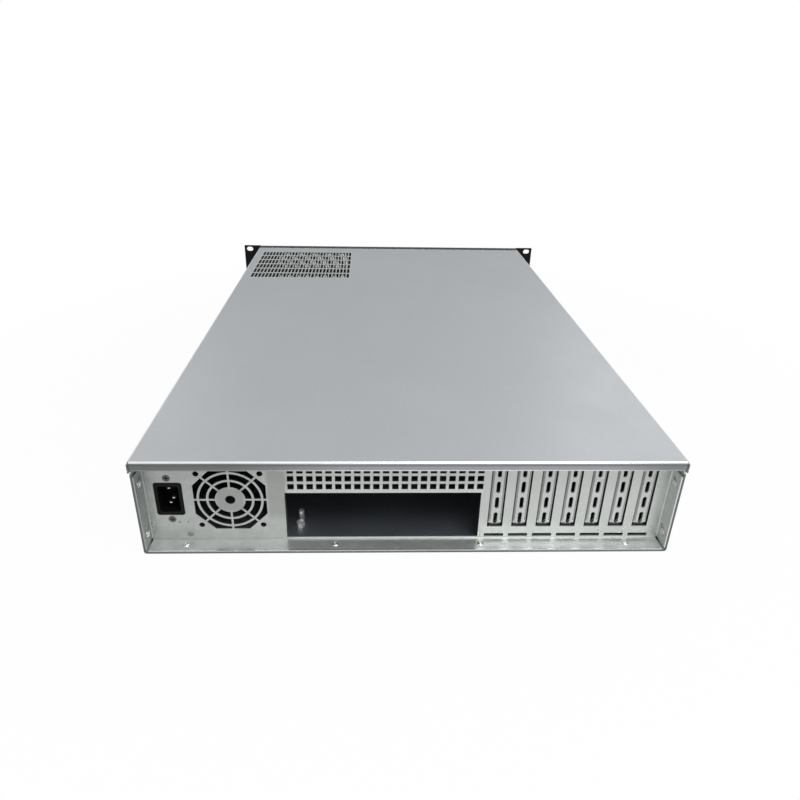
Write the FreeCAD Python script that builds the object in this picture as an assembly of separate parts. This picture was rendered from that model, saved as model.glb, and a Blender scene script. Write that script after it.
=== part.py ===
import FreeCAD, Part
import math
import os

# An empty rackmount server case, two rack units high, seen from behind in the photograph.
# X runs to the right as seen from the front, Y runs towards the rear and Z runs up.
# The origin is the centre of the four rack holes, on the back face of the front panel's ears.
# All sizes are millimetres.

V = FreeCAD.Vector

# Rack front panel
ear_width = 26.3
panel_rise = 0.35
panel_sheet = 2.0
panel_bend = 1.0
panel_flange_depth = 12.0
rack_hole_inset_x = 8.75
rack_hole_inset_z = 5.95
rack_slot_length = 10.3
rack_slot_height = 7.1

# Case body and its sliding cover
case_width = 430.0
case_height = 87.4
case_length = 650.0
cover_sheet = 1.0
cover_flange_height = 9.9
cover_lip_height = 7.7
cover_bend = 1.0
cover_clearance = 0.3
body_sheet = 1.2
body_bend = 1.2
tray_lip_width = 10.0
tray_front_lip_width = 11.0
tray_front_lip_height = 62.0
tray_floor_lip_reach = 168.0
tray_rear_corner_cut = 10.5

# Vent field in the cover, over the power supply bay
cover_vent_columns = 28
cover_vent_rows = 6
cover_vent_pitch_x = 5.04
cover_vent_pitch_y = 23.46
cover_vent_width = 2.6
cover_vent_length = 17.5
cover_vent_inset = 80.4
cover_vent_centre_y = 108.2

# Rear panel, a pan whose four flanges turn towards the rear
rear_recess = 15.0
rear_flange_setback = 0.5
rear_corner_relief = 1.0
rear_side_flange_drop = 8.9
ledge_drop = 5.1

# Openings in the rear panel
io_width = 158.75
io_height = 44.45
io_inset = 191.55
io_rise = 2.9
vent_columns = 21
vent_pitch = 7.6
vent_side = 5.2
vent_inset = 193.4
vent_drop = 12.5
vent_margin = 5.0

# Punched guard for a 60 mm fan in the rear panel
fan_guard_inset = 68.5
fan_guard_rise = 40.8
fan_guard_hole_spacing = 50.0
fan_guard_hole_radius = 2.4
guard_centre_hole_radius = 4.05
guard_hub_radius = 12.2
guard_inner_ring_radius = 18.3
guard_outer_ring_radius = 25.7
guard_ring_width = 1.9
guard_spoke_width = 1.6
guard_spoke_count = 8
guard_half_size = 29.0
guard_corner_cut = 15.2

# Expansion slots and their covers
slot_pitch = 20.32
first_slot_inset = 284.5
slot_edge_margin = 9.0
slot_window_width = 12.8
slot_window_rise = 13.7
slot_window_top_drop = 4.0
tab_slot_width = 16.3
tab_slot_height = 2.0
tab_slot_rise = 4.9
slot_cover_width = 18.4
slot_blade_width = 10.8
slot_shoulder_drop = 3.0
slot_cover_sheet = 0.9
slot_cover_foot = 11.4
slot_cover_end_gap = 1.2
slot_cover_corner = 2.5
slot_tab_width = 7.6
slot_tab_joggle = 1.8
rib_half_width = 4.4
rib_height = 0.8
rib_slope = 0.5
oval_pitch = 15.24
oval_rise = 7.9
oval_margin = 6.0
oval_width = 3.3
oval_length = 11.2
slot_screw_setback = 6.4

# Power inlet
inlet_inset = 20.1
inlet_rise = 41.7
inlet_width = 22.0
inlet_height = 31.0
inlet_corner = 2.2
inlet_fit = 0.25
inlet_proud = 0.4
inlet_flange_width = 27.0
inlet_flange_height = 48.5
inlet_flange_thickness = 2.4
inlet_depth = 21.0
inlet_cavity_width = 16.6
inlet_cavity_height = 24.6
inlet_cavity_depth = 16.5
inlet_screw_spacing = 40.0
pin_spacing = 14.0
earth_offset = 4.0
pin_width = 4.0
pin_thickness = 2.0
pin_setback = 2.9
earth_setback = 0.2
pin_tail = 8.0
pin_fit = 0.05

# Screws and rivets
screw_clearance = 0.1
small_screw_radius = 1.5
small_head_radius = 2.8
small_head_height = 1.8
countersunk_radius = 3.1
rivet_radius = 1.6
rivet_head_radius = 2.5
rivet_head_height = 0.9
inner_rivet_offset = 60.0
outer_rivet_inset = 30.7
rivet_setback = 7.9
side_rivet_drop = 20.1
side_rivet_rise = 12.5
nut_flats = 5.5
nut_height = 2.4
cover_screw_insets = (29.7, 46.0)
cover_screw_drop = 5.4

# Holes in the floor for a main board, and the two studs beside them
board_hole_radius = 1.25
board_rear_row_inset = 11.2
board_first_column_inset = 121.5
board_column_steps = (157.48, 281.94)
board_corner_step = 22.86
board_row_steps = (154.94, 227.33)
stud_insets = (25.5, 16.6)
stud_heights = (10.0, 4.5)
stud_flats = (4.2, 6.0)
stud_bore_radius = 1.2

# Angle beside the rear opening
angle_leg = 12.0
angle_reach = 10.2
angle_edge_gap = 0.55
angle_top_gap = 5.6

# Drive cages
cage_sheet = 1.0
drive_width = 101.6
drive_fit = 0.3
cage_length = 147.0
cage_front_y = 20.0
cage_rise = 56.5
cage_gap = 2.0
cable_channel_width = 52.4
cage_slot_length = 7.0
cage_slot_height = 3.6
cage_slot_rises = (7.4, 35.2)
cage_slot_places = (28.5, 130.1)
cage_foot_places = (40.0, 110.0)

# Power supply bracket
supply_rear_y = 178.0
supply_gap = 3.0
supply_wall_gap = 9.2
supply_top_gap = 2.8
bracket_foot = 12.0
supply_hole_radius = 1.9
supply_hole_side_inset = 6.0
supply_hole_top_inset = 6.2
supply_hole_step = 6.0
supply_opening_side = 12.0
supply_opening_edge = 12.2
supply_foot_inset = 25.0

# Fan wall across the middle of the case
wall_y = 215.0
wall_foot = 12.0
wall_side_gap = 0.5
wall_fan_fit = 5.2
wall_fan_rim = 2.0
wall_fan_hole_inset = 4.25
wall_fan_screw_radius = 2.2
wall_fan_gap = 12.0
wall_end_margin = 64.5
cable_gap_inset = 80.5
cable_gap_width = 70.0
cable_gap_height = 40.0
wall_foot_inset = 22.5

# Front air slots
front_slot_width = 1.0
front_slot_length = 24.0
front_slot_pitch = 4.3
front_slot_margin = 15.0
front_slot_rows = (-19.0, 19.0)
panel_screw_spacing_z = 52.0

# Front handles
handle_gap = 5.0
handle_hole_spacing = 56.0
handle_thickness = 5.0
handle_width = 9.0
handle_reach = 34.0
handle_bend = 5.0

# Controls at the left of the front panel
control_inset = 25.5
power_z = 22.0
power_radius = 6.0
reset_z = 8.0
reset_radius = 2.6
button_gap = 0.2
button_proud = 2.6
button_travel = 1.8
button_collar = 1.2
button_collar_thickness = 1.4
button_collar_gap = 0.3
button_stem_radius = 1.9
button_guide_clearance = 0.1
lens_radius = 1.5
lens_places = (-1.0, -6.5)
lens_proud = 0.4
holder_width = 30.0
holder_bottom_z = -11.0
holder_top_z = 34.0
holder_depth = 9.6
board_thickness = 1.6
board_bottom_z = -30.5
usb_width = 13.1
usb_height = 5.8
usb_wall = 0.4
usb_fit = 0.3
usb_places = (-16.5, -25.5)
usb_tongue_height = 1.9
usb_tongue_width = 11.0
usb_tongue_setback = 1.5
control_screw_places = (13.0, 0.5)
control_screw_offset = 11.5

# Faces and edges that follow from the sizes above
top_z = case_height / 2
bottom_z = -case_height / 2
cover_under_z = top_z - cover_sheet
floor_z = bottom_z + body_sheet
wall_x = case_width / 2 - cover_sheet - cover_clearance
wall_inner_x = wall_x - body_sheet
cover_front_y = panel_flange_depth + cover_clearance
rear_face_y = case_length - rear_recess
inner_face_y = rear_face_y - body_sheet
rear_flange_y = case_length - rear_flange_setback
ledge_z = top_z - ledge_drop
flange_top_z = floor_z + body_sheet
rivet_y = case_length - rivet_setback
rear_side_flange_top = top_z - ledge_drop - rear_side_flange_drop
panel_width = case_width + 2 * ear_width
panel_height = case_height + 2 * panel_rise
rack_hole_x = panel_width / 2 - rack_hole_inset_x
rack_hole_z = panel_height / 2 - rack_hole_inset_z
cover_vent_centre_x = wall_inner_x - cover_vent_inset
floor_rivet_offsets = (inner_rivet_offset, wall_inner_x - outer_rivet_inset)
side_rivet_heights = (ledge_z - side_rivet_drop, floor_z + side_rivet_rise)
cover_screw_places = (cover_front_y + cover_screw_insets[0], (cover_front_y + case_length) / 2,
                      case_length - cover_screw_insets[1])

# Rear openings, each set out from the wall beside the inlet
inlet_x = wall_inner_x - inlet_inset
inlet_z = floor_z + inlet_rise
fan_guard_x = wall_inner_x - fan_guard_inset
fan_guard_z = floor_z + fan_guard_rise
io_centre_x = wall_inner_x - io_inset
io_bottom_z = floor_z + io_rise
vent_centre_x = wall_inner_x - vent_inset
vent_top_z = ledge_z - vent_drop
vent_rows = int((vent_top_z - vent_margin - io_bottom_z - io_height) / vent_pitch) + 1
first_slot_x = wall_inner_x - first_slot_inset
slot_row_length = first_slot_x + wall_inner_x - slot_cover_width / 2 - slot_edge_margin
slot_count = int(slot_row_length / slot_pitch) + 1
slot_window_bottom_z = floor_z + slot_window_rise
tab_slot_z = floor_z + tab_slot_rise
oval_lowest_z = slot_window_bottom_z + oval_rise
oval_count = int((ledge_z - slot_window_bottom_z - oval_margin) / oval_pitch)
board_first_column_x = wall_inner_x - board_first_column_inset
board_rear_row_y = inner_face_y - board_rear_row_inset

# Places inside the case, set out from its walls
cage_outer_width = drive_width + 2 * (drive_fit + cage_sheet)
cage_left_x = -wall_inner_x + cable_channel_width + cage_outer_width / 2
cage_right_x = cage_left_x + cage_outer_width + cage_gap
supply_left_x = cage_right_x + cage_outer_width / 2 + supply_gap
supply_width = wall_inner_x - supply_wall_gap - supply_left_x
supply_centre_x = supply_left_x + supply_width / 2
supply_height = cover_under_z - floor_z - supply_top_gap
wall_fan_size = cover_under_z - floor_z - wall_fan_fit
wall_fan_pitch = wall_fan_size + wall_fan_gap
cable_gap_x = wall_inner_x - cable_gap_inset
wall_fan_room = cable_gap_x - cable_gap_width / 2 + wall_inner_x - wall_end_margin
wall_fan_count = int((wall_fan_room - wall_fan_size / 2) / wall_fan_pitch) + 1
wall_foot_x = wall_inner_x - wall_foot_inset
handle_x = case_width / 2 + handle_gap
control_x = -wall_inner_x + control_inset


def block(x, y, z):
    """A box between two X, two Y and two Z values."""
    return Part.makeBox(x[1] - x[0], y[1] - y[0], z[1] - z[0], V(x[0], y[0], z[0]))


def rod_y(x, z, radius, y0, y1):
    """A round bar along Y."""
    return Part.makeCylinder(radius, y1 - y0, V(x, y0, z), V(0, 1, 0))


def rod_z(x, y, radius, z0, z1):
    """A round bar along Z."""
    return Part.makeCylinder(radius, z1 - z0, V(x, y, z0), V(0, 0, 1))


def cone(base, direction, base_radius, end_radius, height):
    """A round taper that starts at a point and grows along a direction."""
    return Part.makeCone(base_radius, end_radius, height, base, direction)


def joined(shapes):
    """One solid from pieces that touch, with the seams between flush faces removed."""
    return shapes[0].fuse(shapes[1:]).removeSplitter()


def placed(plane, a, b, level):
    """A point from its two coordinates in a plane and its level across that plane."""
    if plane == "XZ":
        return V(a, level, b)
    if plane == "YZ":
        return V(level, a, b)
    return V(a, b, level)


def across(plane, distance):
    """The vector that crosses a plane."""
    if plane == "XZ":
        return V(0, distance, 0)
    if plane == "YZ":
        return V(distance, 0, 0)
    return V(0, 0, distance)


def rounded_edges(points, radii, plane, level):
    """The edges of an open line whose inner corners are arcs."""
    edges = []
    start = points[0]
    for corner, before, after, radius in zip(points[1:-1], points[:-2], points[2:], radii):
        inward = (corner - before).normalize()
        outward = (after - corner).normalize()
        half_turn = inward.getAngle(outward) / 2
        reach = radius * math.tan(half_turn)
        entry = corner - inward * reach
        leave = corner + outward * reach
        middle = corner + (outward - inward).normalize() * (radius / math.cos(half_turn) - radius)
        edges.append(Part.LineSegment(placed(plane, start.x, start.y, level),
                                      placed(plane, entry.x, entry.y, level)).toShape())
        edges.append(Part.Arc(placed(plane, entry.x, entry.y, level),
                              placed(plane, middle.x, middle.y, level),
                              placed(plane, leave.x, leave.y, level)).toShape())
        start = leave
    end = points[-1]
    edges.append(Part.LineSegment(placed(plane, start.x, start.y, level),
                                  placed(plane, end.x, end.y, level)).toShape())
    return edges


def folded(outline, thickness, bend, plane, low, high):
    """A folded sheet: the line of one face in a plane, with the sheet on the right of its way.

    Each fold has the inner radius named by bend, and the sheet runs from low to high across the plane.
    """
    face_line = [V(a, b, 0) for a, b in outline]
    ways = [(q - p).normalize() for p, q in zip(face_line[:-1], face_line[1:])]
    rights = [V(way.y, -way.x, 0) for way in ways]
    back_line = [face_line[0] + rights[0] * thickness]
    near_radii = []
    far_radii = []
    for index in range(1, len(face_line) - 1):
        first = rights[index - 1]
        second = rights[index]
        back_line.append(face_line[index] + (first + second) * (thickness / (1 + first.dot(second))))
        turns_left = ways[index - 1].cross(ways[index]).z > 0
        near_radii.append(bend if turns_left else bend + thickness)
        far_radii.append(bend + thickness if turns_left else bend)
    back_line.append(face_line[-1] + rights[-1] * thickness)
    edges = rounded_edges(face_line, near_radii, plane, low)
    edges += rounded_edges(back_line, far_radii, plane, low)
    for near, far in ((face_line[0], back_line[0]), (face_line[-1], back_line[-1])):
        edges.append(Part.LineSegment(placed(plane, near.x, near.y, low),
                                      placed(plane, far.x, far.y, low)).toShape())
    face = Part.Face(Part.Wire(Part.__sortEdges__(edges)))
    return face.extrude(across(plane, high - low))


def stadium(x, z, width, length, y0, y1, upright=True):
    """A bar along Y whose section is a slot with round ends."""
    radius = width / 2
    half = length / 2 - radius
    if upright:
        ends = [(x, z - half), (x, z + half)]
        core = block((x - radius, x + radius), (y0, y1), (z - half, z + half))
    else:
        ends = [(x - half, z), (x + half, z)]
        core = block((x - half, x + half), (y0, y1), (z - radius, z + radius))
    return joined([core] + [rod_y(end_x, end_z, radius, y0, y1) for end_x, end_z in ends])


def prism_z(x, y, flats, z0, z1):
    """A six-sided bar along Z."""
    corner = flats / 2 / math.cos(math.pi / 6)
    ring = [V(x + corner * math.cos(step * math.pi / 3), y + corner * math.sin(step * math.pi / 3), z0)
            for step in range(7)]
    return Part.Face(Part.makePolygon(ring)).extrude(V(0, 0, z1 - z0))


def prism_y(x, z, flats, y0, y1):
    """A six-sided bar along Y."""
    corner = flats / 2 / math.cos(math.pi / 6)
    ring = [V(x + corner * math.cos(step * math.pi / 3), y0, z + corner * math.sin(step * math.pi / 3))
            for step in range(7)]
    return Part.Face(Part.makePolygon(ring)).extrude(V(0, y1 - y0, 0))


def slot_x(index):
    """The X of an expansion slot's centre line."""
    return first_slot_x - index * slot_pitch


def slot_screw_y():
    """The Y of the screws that hold the slot covers' feet."""
    return inner_face_y + slot_screw_setback


def chassis_tray():
    """Floor, side walls, their top lips and the front lips, folded from one sheet."""
    profile = [(wall_x - tray_lip_width, cover_under_z), (wall_x, cover_under_z), (wall_x, bottom_z),
               (-wall_x, bottom_z), (-wall_x, cover_under_z), (-wall_x + tray_lip_width, cover_under_z)]
    tray = folded(profile, body_sheet, body_bend, "XZ", 0, case_length)
    side_lip = (wall_x - tray_front_lip_width, wall_x - body_sheet / 2)
    lip_z = (-tray_front_lip_height / 2, tray_front_lip_height / 2)
    lips = [block(side_lip, (0, body_sheet), lip_z),
            block((-side_lip[1], -side_lip[0]), (0, body_sheet), lip_z),
            block((-tray_floor_lip_reach, tray_floor_lip_reach), (0, body_sheet),
                  (bottom_z + body_sheet / 2, floor_z + tray_lip_width))]
    tray = joined([tray] + lips)
    lip_notch_z = cover_under_z - body_sheet - body_bend
    panel_notch_z = panel_height / 2 - panel_sheet - panel_bend - cover_clearance
    rear_notch = rear_recess + body_sheet + slot_cover_sheet + rear_corner_relief
    cuts = [block((-case_width, case_width), (-1, cover_front_y), (panel_notch_z, case_height)),
            block((-wall_inner_x, wall_inner_x), (case_length - rear_notch, case_length + 1),
                  (lip_notch_z, case_height))]
    corner = tray_rear_corner_cut
    wedge = Part.makePolygon([V(-case_width, case_length - corner, cover_under_z),
                              V(-case_width, case_length + corner, cover_under_z),
                              V(-case_width, case_length + corner, cover_under_z - 2 * corner),
                              V(-case_width, case_length - corner, cover_under_z)])
    cuts.append(Part.Face(wedge).extrude(V(2 * case_width, 0, 0)))
    hole = rivet_radius + screw_clearance
    for side in (-1, 1):
        for offset in floor_rivet_offsets:
            cuts.append(rod_z(side * offset, rivet_y, hole, bottom_z - 1, floor_z + 1))
        for height in side_rivet_heights:
            cuts.append(side_hole(side, rivet_y, height, hole))
        for place in cover_screw_places:
            cuts.append(side_hole(side, place, top_z - cover_screw_drop, small_screw_radius + screw_clearance))
        for height in (-panel_screw_spacing_z / 2, panel_screw_spacing_z / 2):
            cuts.append(rod_y(side * panel_screw_x(), height, small_screw_radius + screw_clearance,
                              -1, body_sheet + 1))
    for x, y in board_hole_places():
        cuts.append(rod_z(x, y, board_hole_radius, bottom_z - 1, floor_z + 1))
    for x, y in foot_screw_places():
        cuts.append(rod_z(x, y, small_screw_radius + screw_clearance, bottom_z - 1, floor_z + 1))
    return tray.cut(cuts)


def side_hole(side, y, z, radius):
    """A round cutter through one side wall."""
    start = side * (wall_inner_x - 2 * body_sheet)
    return Part.makeCylinder(radius, 6 * body_sheet, V(start, y, z), V(side, 0, 0))


def board_hole_places():
    """The X and Y of each board hole: two full rows, and a rear row whose first hole sits further in."""
    columns = [board_first_column_x - step for step in (0.0,) + board_column_steps]
    places = [(x, board_rear_row_y - step) for x in columns for step in board_row_steps]
    places += [(x, board_rear_row_y) for x in columns[1:]]
    places.append((board_first_column_x, board_rear_row_y - board_corner_step))
    return places


def foot_screw_places():
    """The X and Y of every screw that goes down through the floor."""
    places = [(x, cage_front_y + y) for x in (cage_left_x, cage_right_x) for y in cage_foot_places]
    supply_foot_x = supply_width / 2 - supply_foot_inset
    for side in (-1, 1):
        places.append((supply_centre_x + side * supply_foot_x, supply_rear_y + (bracket_foot + cage_sheet) / 2))
        places.append((side * wall_foot_x, wall_y + (wall_foot + cage_sheet) / 2))
    return places


def panel_screw_x():
    """The X of the screws that hold the front panel to the tray's front lips."""
    return wall_x - tray_front_lip_width / 2


def rear_panel():
    """The folded pan with its openings, vents, fan guard, slot windows and tab slots."""
    plate_x = wall_inner_x
    flange_x = wall_inner_x - body_sheet - rear_corner_relief
    upright = folded([(rear_flange_y, floor_z), (inner_face_y, floor_z), (inner_face_y, ledge_z),
                      (rear_flange_y - cover_sheet, ledge_z)],
                     body_sheet, body_bend, "YZ", -flange_x, flange_x)
    sides = folded([(-plate_x, rear_flange_y), (-plate_x, inner_face_y), (plate_x, inner_face_y),
                    (plate_x, rear_flange_y)][::-1],
                   body_sheet, body_bend, "XY", flange_top_z + rear_corner_relief, rear_side_flange_top)
    pan = joined([upright, sides])
    through = (inner_face_y - 1, rear_face_y + 1)
    cuts = [block((io_centre_x - io_width / 2, io_centre_x + io_width / 2), through,
                  (io_bottom_z, io_bottom_z + io_height))]
    for column in range(vent_columns):
        for row in range(vent_rows):
            x = vent_centre_x + (column - (vent_columns - 1) / 2) * vent_pitch
            z = vent_top_z - row * vent_pitch
            cuts.append(block((x - vent_side / 2, x + vent_side / 2), through,
                              (z - vent_side / 2, z + vent_side / 2)))
    for index in range(slot_count):
        x = slot_x(index)
        cuts.append(block((x - slot_window_width / 2, x + slot_window_width / 2), through,
                          (slot_window_bottom_z, ledge_z - slot_window_top_drop)))
        cuts.append(block((x - tab_slot_width / 2, x + tab_slot_width / 2), through,
                          (tab_slot_z - tab_slot_height / 2, tab_slot_z + tab_slot_height / 2)))
        cuts.append(rod_z(x, slot_screw_y(), small_screw_radius + screw_clearance,
                          ledge_z - body_sheet - 1, ledge_z + 1))
    cuts += fan_guard_cuts(through)
    inlet = rounded_bar(inlet_x, inlet_z, inlet_width + 2 * inlet_fit, inlet_height + 2 * inlet_fit,
                        inlet_corner, through[0], through[1])
    cuts.append(inlet)
    for side in (-1, 1):
        z = inlet_z + side * inlet_screw_spacing / 2
        cuts.append(cone(V(inlet_x, rear_face_y, z), V(0, -1, 0), countersunk_radius + screw_clearance,
                         countersunk_radius - body_sheet + screw_clearance, body_sheet))
        for offset in floor_rivet_offsets:
            cuts.append(rod_z(side * offset, rivet_y, rivet_radius + screw_clearance,
                              floor_z - 1, flange_top_z + 1))
        for height in side_rivet_heights:
            cuts.append(side_hole(side, rivet_y, height, rivet_radius + screw_clearance))
    return pan.cut(cuts)


def rounded_bar(x, z, width, height, corner, y0, y1):
    """A bar along Y whose section is a rectangle with round corners."""
    bar = block((x - width / 2, x + width / 2), (y0, y1), (z - height / 2, z + height / 2))
    edges = [edge for edge in bar.Edges if abs(edge.tangentAt(edge.FirstParameter).y) > 0.9]
    return bar.makeFillet(corner, edges)


def fan_guard_cuts(through):
    """The cutters of the fan guard: ring gaps between spokes, the centre hole and the screw holes."""
    y0, y1 = through
    half = guard_half_size
    cut = half - guard_corner_cut
    outline = [(cut, half), (half, cut), (half, -cut), (cut, -half),
               (-cut, -half), (-half, -cut), (-half, cut), (-cut, half), (cut, half)]
    ring_points = [V(fan_guard_x + a, y0, fan_guard_z + b) for a, b in outline]
    outer = Part.Face(Part.makePolygon(ring_points)).extrude(V(0, y1 - y0, 0))
    edges = []
    for radius in (guard_outer_ring_radius, guard_inner_ring_radius):
        edges += [radius + guard_ring_width / 2, radius - guard_ring_width / 2]
    edges.append(guard_hub_radius)
    discs = [rod_y(fan_guard_x, fan_guard_z, radius, y0, y1) for radius in edges]
    gaps = [outer.cut(discs[0]), discs[1].cut(discs[2]), discs[3].cut(discs[4])]
    spokes = []
    for step in range(guard_spoke_count // 2):
        spoke = block((fan_guard_x - 2 * half, fan_guard_x + 2 * half), (y0 - 1, y1 + 1),
                      (fan_guard_z - guard_spoke_width / 2, fan_guard_z + guard_spoke_width / 2))
        spoke.rotate(V(fan_guard_x, 0, fan_guard_z), V(0, 1, 0), step * 360 / guard_spoke_count)
        spokes.append(spoke)
    cuts = [gap.cut(spokes) for gap in gaps]
    cuts.append(rod_y(fan_guard_x, fan_guard_z, guard_centre_hole_radius, y0, y1))
    reach = fan_guard_hole_spacing / 2
    for x, z in ((-reach, -reach), (-reach, reach), (reach, -reach), (reach, reach)):
        cuts.append(rod_y(fan_guard_x + x, fan_guard_z + z, fan_guard_hole_radius, y0, y1))
    return cuts


def panel_rivets():
    """The rivets that join the rear panel's flanges to the tray."""
    rivets = []
    for side in (-1, 1):
        for offset in floor_rivet_offsets:
            shank = rod_z(side * offset, rivet_y, rivet_radius, bottom_z, flange_top_z)
            head = cone(V(side * offset, rivet_y, flange_top_z), V(0, 0, 1),
                        rivet_head_radius, rivet_head_radius / 2, rivet_head_height)
            rivets.append(joined([shank, head]))
        for height in side_rivet_heights:
            inner = wall_inner_x - body_sheet
            shank = Part.makeCylinder(rivet_radius, 2 * body_sheet, V(side * inner, rivet_y, height),
                                      V(side, 0, 0))
            head = cone(V(side * inner, rivet_y, height), V(-side, 0, 0),
                        rivet_head_radius, rivet_head_radius / 2, rivet_head_height)
            rivets.append(joined([shank, head]))
    return Part.makeCompound(rivets)


def slot_cover(index):
    """One slot cover: a foot on the ledge, a narrow blade in the window, a ribbed row of ovals and a tab."""
    x = slot_x(index)
    half = slot_cover_width / 2
    front = inner_face_y - slot_cover_sheet
    end_z = slot_window_bottom_z + slot_cover_end_gap
    foot_y = inner_face_y + slot_cover_foot
    blade = folded([(foot_y, ledge_z + slot_cover_sheet), (front, ledge_z + slot_cover_sheet),
                    (front, end_z)][::-1],
                   slot_cover_sheet, slot_cover_sheet / 2, "YZ", x - half, x + half)
    sides = [block((x - half - 1, x - slot_blade_width / 2), (front - 1, inner_face_y + 1),
                   (end_z - 1, ledge_z - slot_shoulder_drop)),
             block((x + slot_blade_width / 2, x + half + 1), (front - 1, inner_face_y + 1),
                   (end_z - 1, ledge_z - slot_shoulder_drop))]
    blade = blade.cut(sides)
    low_edges = [edge for edge in blade.Edges
                 if abs(edge.tangentAt(edge.FirstParameter).y) > 0.9
                 and edge.BoundBox.ZMax < end_z + slot_cover_sheet]
    blade = blade.makeFillet(slot_cover_corner, low_edges)
    tab_front = front - slot_tab_joggle
    tab_z = tab_slot_z + tab_slot_height / 2 + screw_clearance
    bend_z = end_z + slot_cover_corner
    tab = folded([(front, bend_z + 3 * slot_tab_joggle), (front, bend_z + slot_tab_joggle),
                  (tab_front, bend_z), (tab_front, tab_z)][::-1],
                 slot_cover_sheet, slot_cover_sheet / 2, "YZ", x - slot_tab_width / 2, x + slot_tab_width / 2)
    rib_top = ledge_z - slot_window_top_drop - rib_half_width
    rib_low = end_z + rib_half_width + rib_slope
    rib = rib_bump(x, rib_low, rib_top)
    notch_y = slot_screw_y()
    notch_radius = small_screw_radius + 2 * screw_clearance
    cuts = [block((x - notch_radius, x + notch_radius), (notch_y, foot_y + 1), (ledge_z - 1, top_z)),
            rod_z(x, notch_y, notch_radius, ledge_z - 1, top_z)]
    for step in range(oval_count):
        z = oval_lowest_z + step * oval_pitch
        cuts.append(stadium(x, z, oval_width, oval_length, tab_front - slot_cover_sheet - 1,
                            inner_face_y + rib_height + 1))
    return joined([blade, tab, rib]).cut(cuts)


def rib_bump(x, low, high):
    """A raised rib with sloping sides and round ends, on the rear face of a slot cover's blade."""
    wires = []
    for level, half in ((-slot_cover_sheet / 2, rib_half_width), (rib_height, rib_half_width - rib_slope)):
        y = inner_face_y + level
        edges = [Part.LineSegment(V(x - half, y, low), V(x - half, y, high)).toShape(),
                 Part.Arc(V(x - half, y, high), V(x, y, high + half), V(x + half, y, high)).toShape(),
                 Part.LineSegment(V(x + half, y, high), V(x + half, y, low)).toShape(),
                 Part.Arc(V(x + half, y, low), V(x, y, low - half), V(x - half, y, low)).toShape()]
        wires.append(Part.Wire(edges))
    return Part.makeLoft(wires, True, True)


def slot_cover_screws():
    """The screws on the slot covers' feet."""
    seat_z = ledge_z + slot_cover_sheet
    screws = []
    for index in range(slot_count):
        x = slot_x(index)
        shank = rod_z(x, slot_screw_y(), small_screw_radius, ledge_z - 2 * body_sheet, seat_z)
        head = cone(V(x, slot_screw_y(), seat_z), V(0, 0, 1), small_head_radius,
                    small_head_radius * 0.8, small_head_height)
        screws.append(joined([shank, head]))
    return Part.makeCompound(screws)


def inlet_body():
    """The moulded power inlet: a shroud with a deep socket, and a flange behind the panel."""
    face_y = rear_face_y + inlet_proud
    back_y = inner_face_y - inlet_depth
    shroud = rounded_bar(inlet_x, inlet_z, inlet_width, inlet_height, inlet_corner, back_y, face_y)
    flange = block((inlet_x - inlet_flange_width / 2, inlet_x + inlet_flange_width / 2),
                   (inner_face_y - inlet_flange_thickness, inner_face_y),
                   (inlet_z - inlet_flange_height / 2, inlet_z + inlet_flange_height / 2))
    cuts = [rounded_bar(inlet_x, inlet_z, inlet_cavity_width, inlet_cavity_height, inlet_corner,
                        face_y - inlet_cavity_depth, face_y + 1)]
    for side in (-1, 1):
        cuts.append(rod_y(inlet_x, inlet_z + side * inlet_screw_spacing / 2,
                          small_screw_radius + screw_clearance, inner_face_y - inlet_depth, inner_face_y + 1))
    for x, z, setback in pin_places():
        cuts.append(block((x - pin_width / 2 - pin_fit, x + pin_width / 2 + pin_fit), (back_y - 1, face_y),
                          (z - pin_thickness / 2 - pin_fit, z + pin_thickness / 2 + pin_fit)))
    return joined([shroud, flange]).cut(cuts)


def pin_places():
    """Each contact pin's X and Z and how far its tip stands behind the inlet's face."""
    return ((inlet_x, inlet_z + pin_spacing / 2, pin_setback),
            (inlet_x, inlet_z - pin_spacing / 2, pin_setback),
            (inlet_x - earth_offset, inlet_z, earth_setback))


def inlet_pins():
    """The three contact pins with their tails."""
    pins = []
    for x, z, setback in pin_places():
        pins.append(block((x - pin_width / 2, x + pin_width / 2),
                          (inner_face_y - inlet_depth - pin_tail, rear_face_y + inlet_proud - setback),
                          (z - pin_thickness / 2, z + pin_thickness / 2)))
    return Part.makeCompound(pins)


def inlet_screws():
    """The countersunk screws of the power inlet."""
    screws = []
    for side in (-1, 1):
        z = inlet_z + side * inlet_screw_spacing / 2
        head = cone(V(inlet_x, rear_face_y, z), V(0, -1, 0), countersunk_radius,
                    countersunk_radius - body_sheet, body_sheet)
        shank = rod_y(inlet_x, z, small_screw_radius,
                      inner_face_y - inlet_flange_thickness - nut_height, inner_face_y)
        screws.append(joined([head, shank]))
    return Part.makeCompound(screws)


def inlet_nuts():
    """The nuts behind the power inlet's flange."""
    nuts = []
    back = inner_face_y - inlet_flange_thickness
    for side in (-1, 1):
        z = inlet_z + side * inlet_screw_spacing / 2
        nut = prism_y(inlet_x, z, nut_flats, back - nut_height, back)
        nuts.append(nut.cut(rod_y(inlet_x, z, small_screw_radius + screw_clearance, back - 2 * nut_height, back)))
    return Part.makeCompound(nuts)


def opening_angle():
    """The upright angle behind the panel, beside the rear opening."""
    edge_x = io_centre_x + io_width / 2 + angle_edge_gap
    return folded([(edge_x, inner_face_y - angle_reach), (edge_x, inner_face_y), (edge_x + angle_leg, inner_face_y)],
                  body_sheet, body_bend / 2, "XY", floor_z, ledge_z - angle_top_gap)


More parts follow.
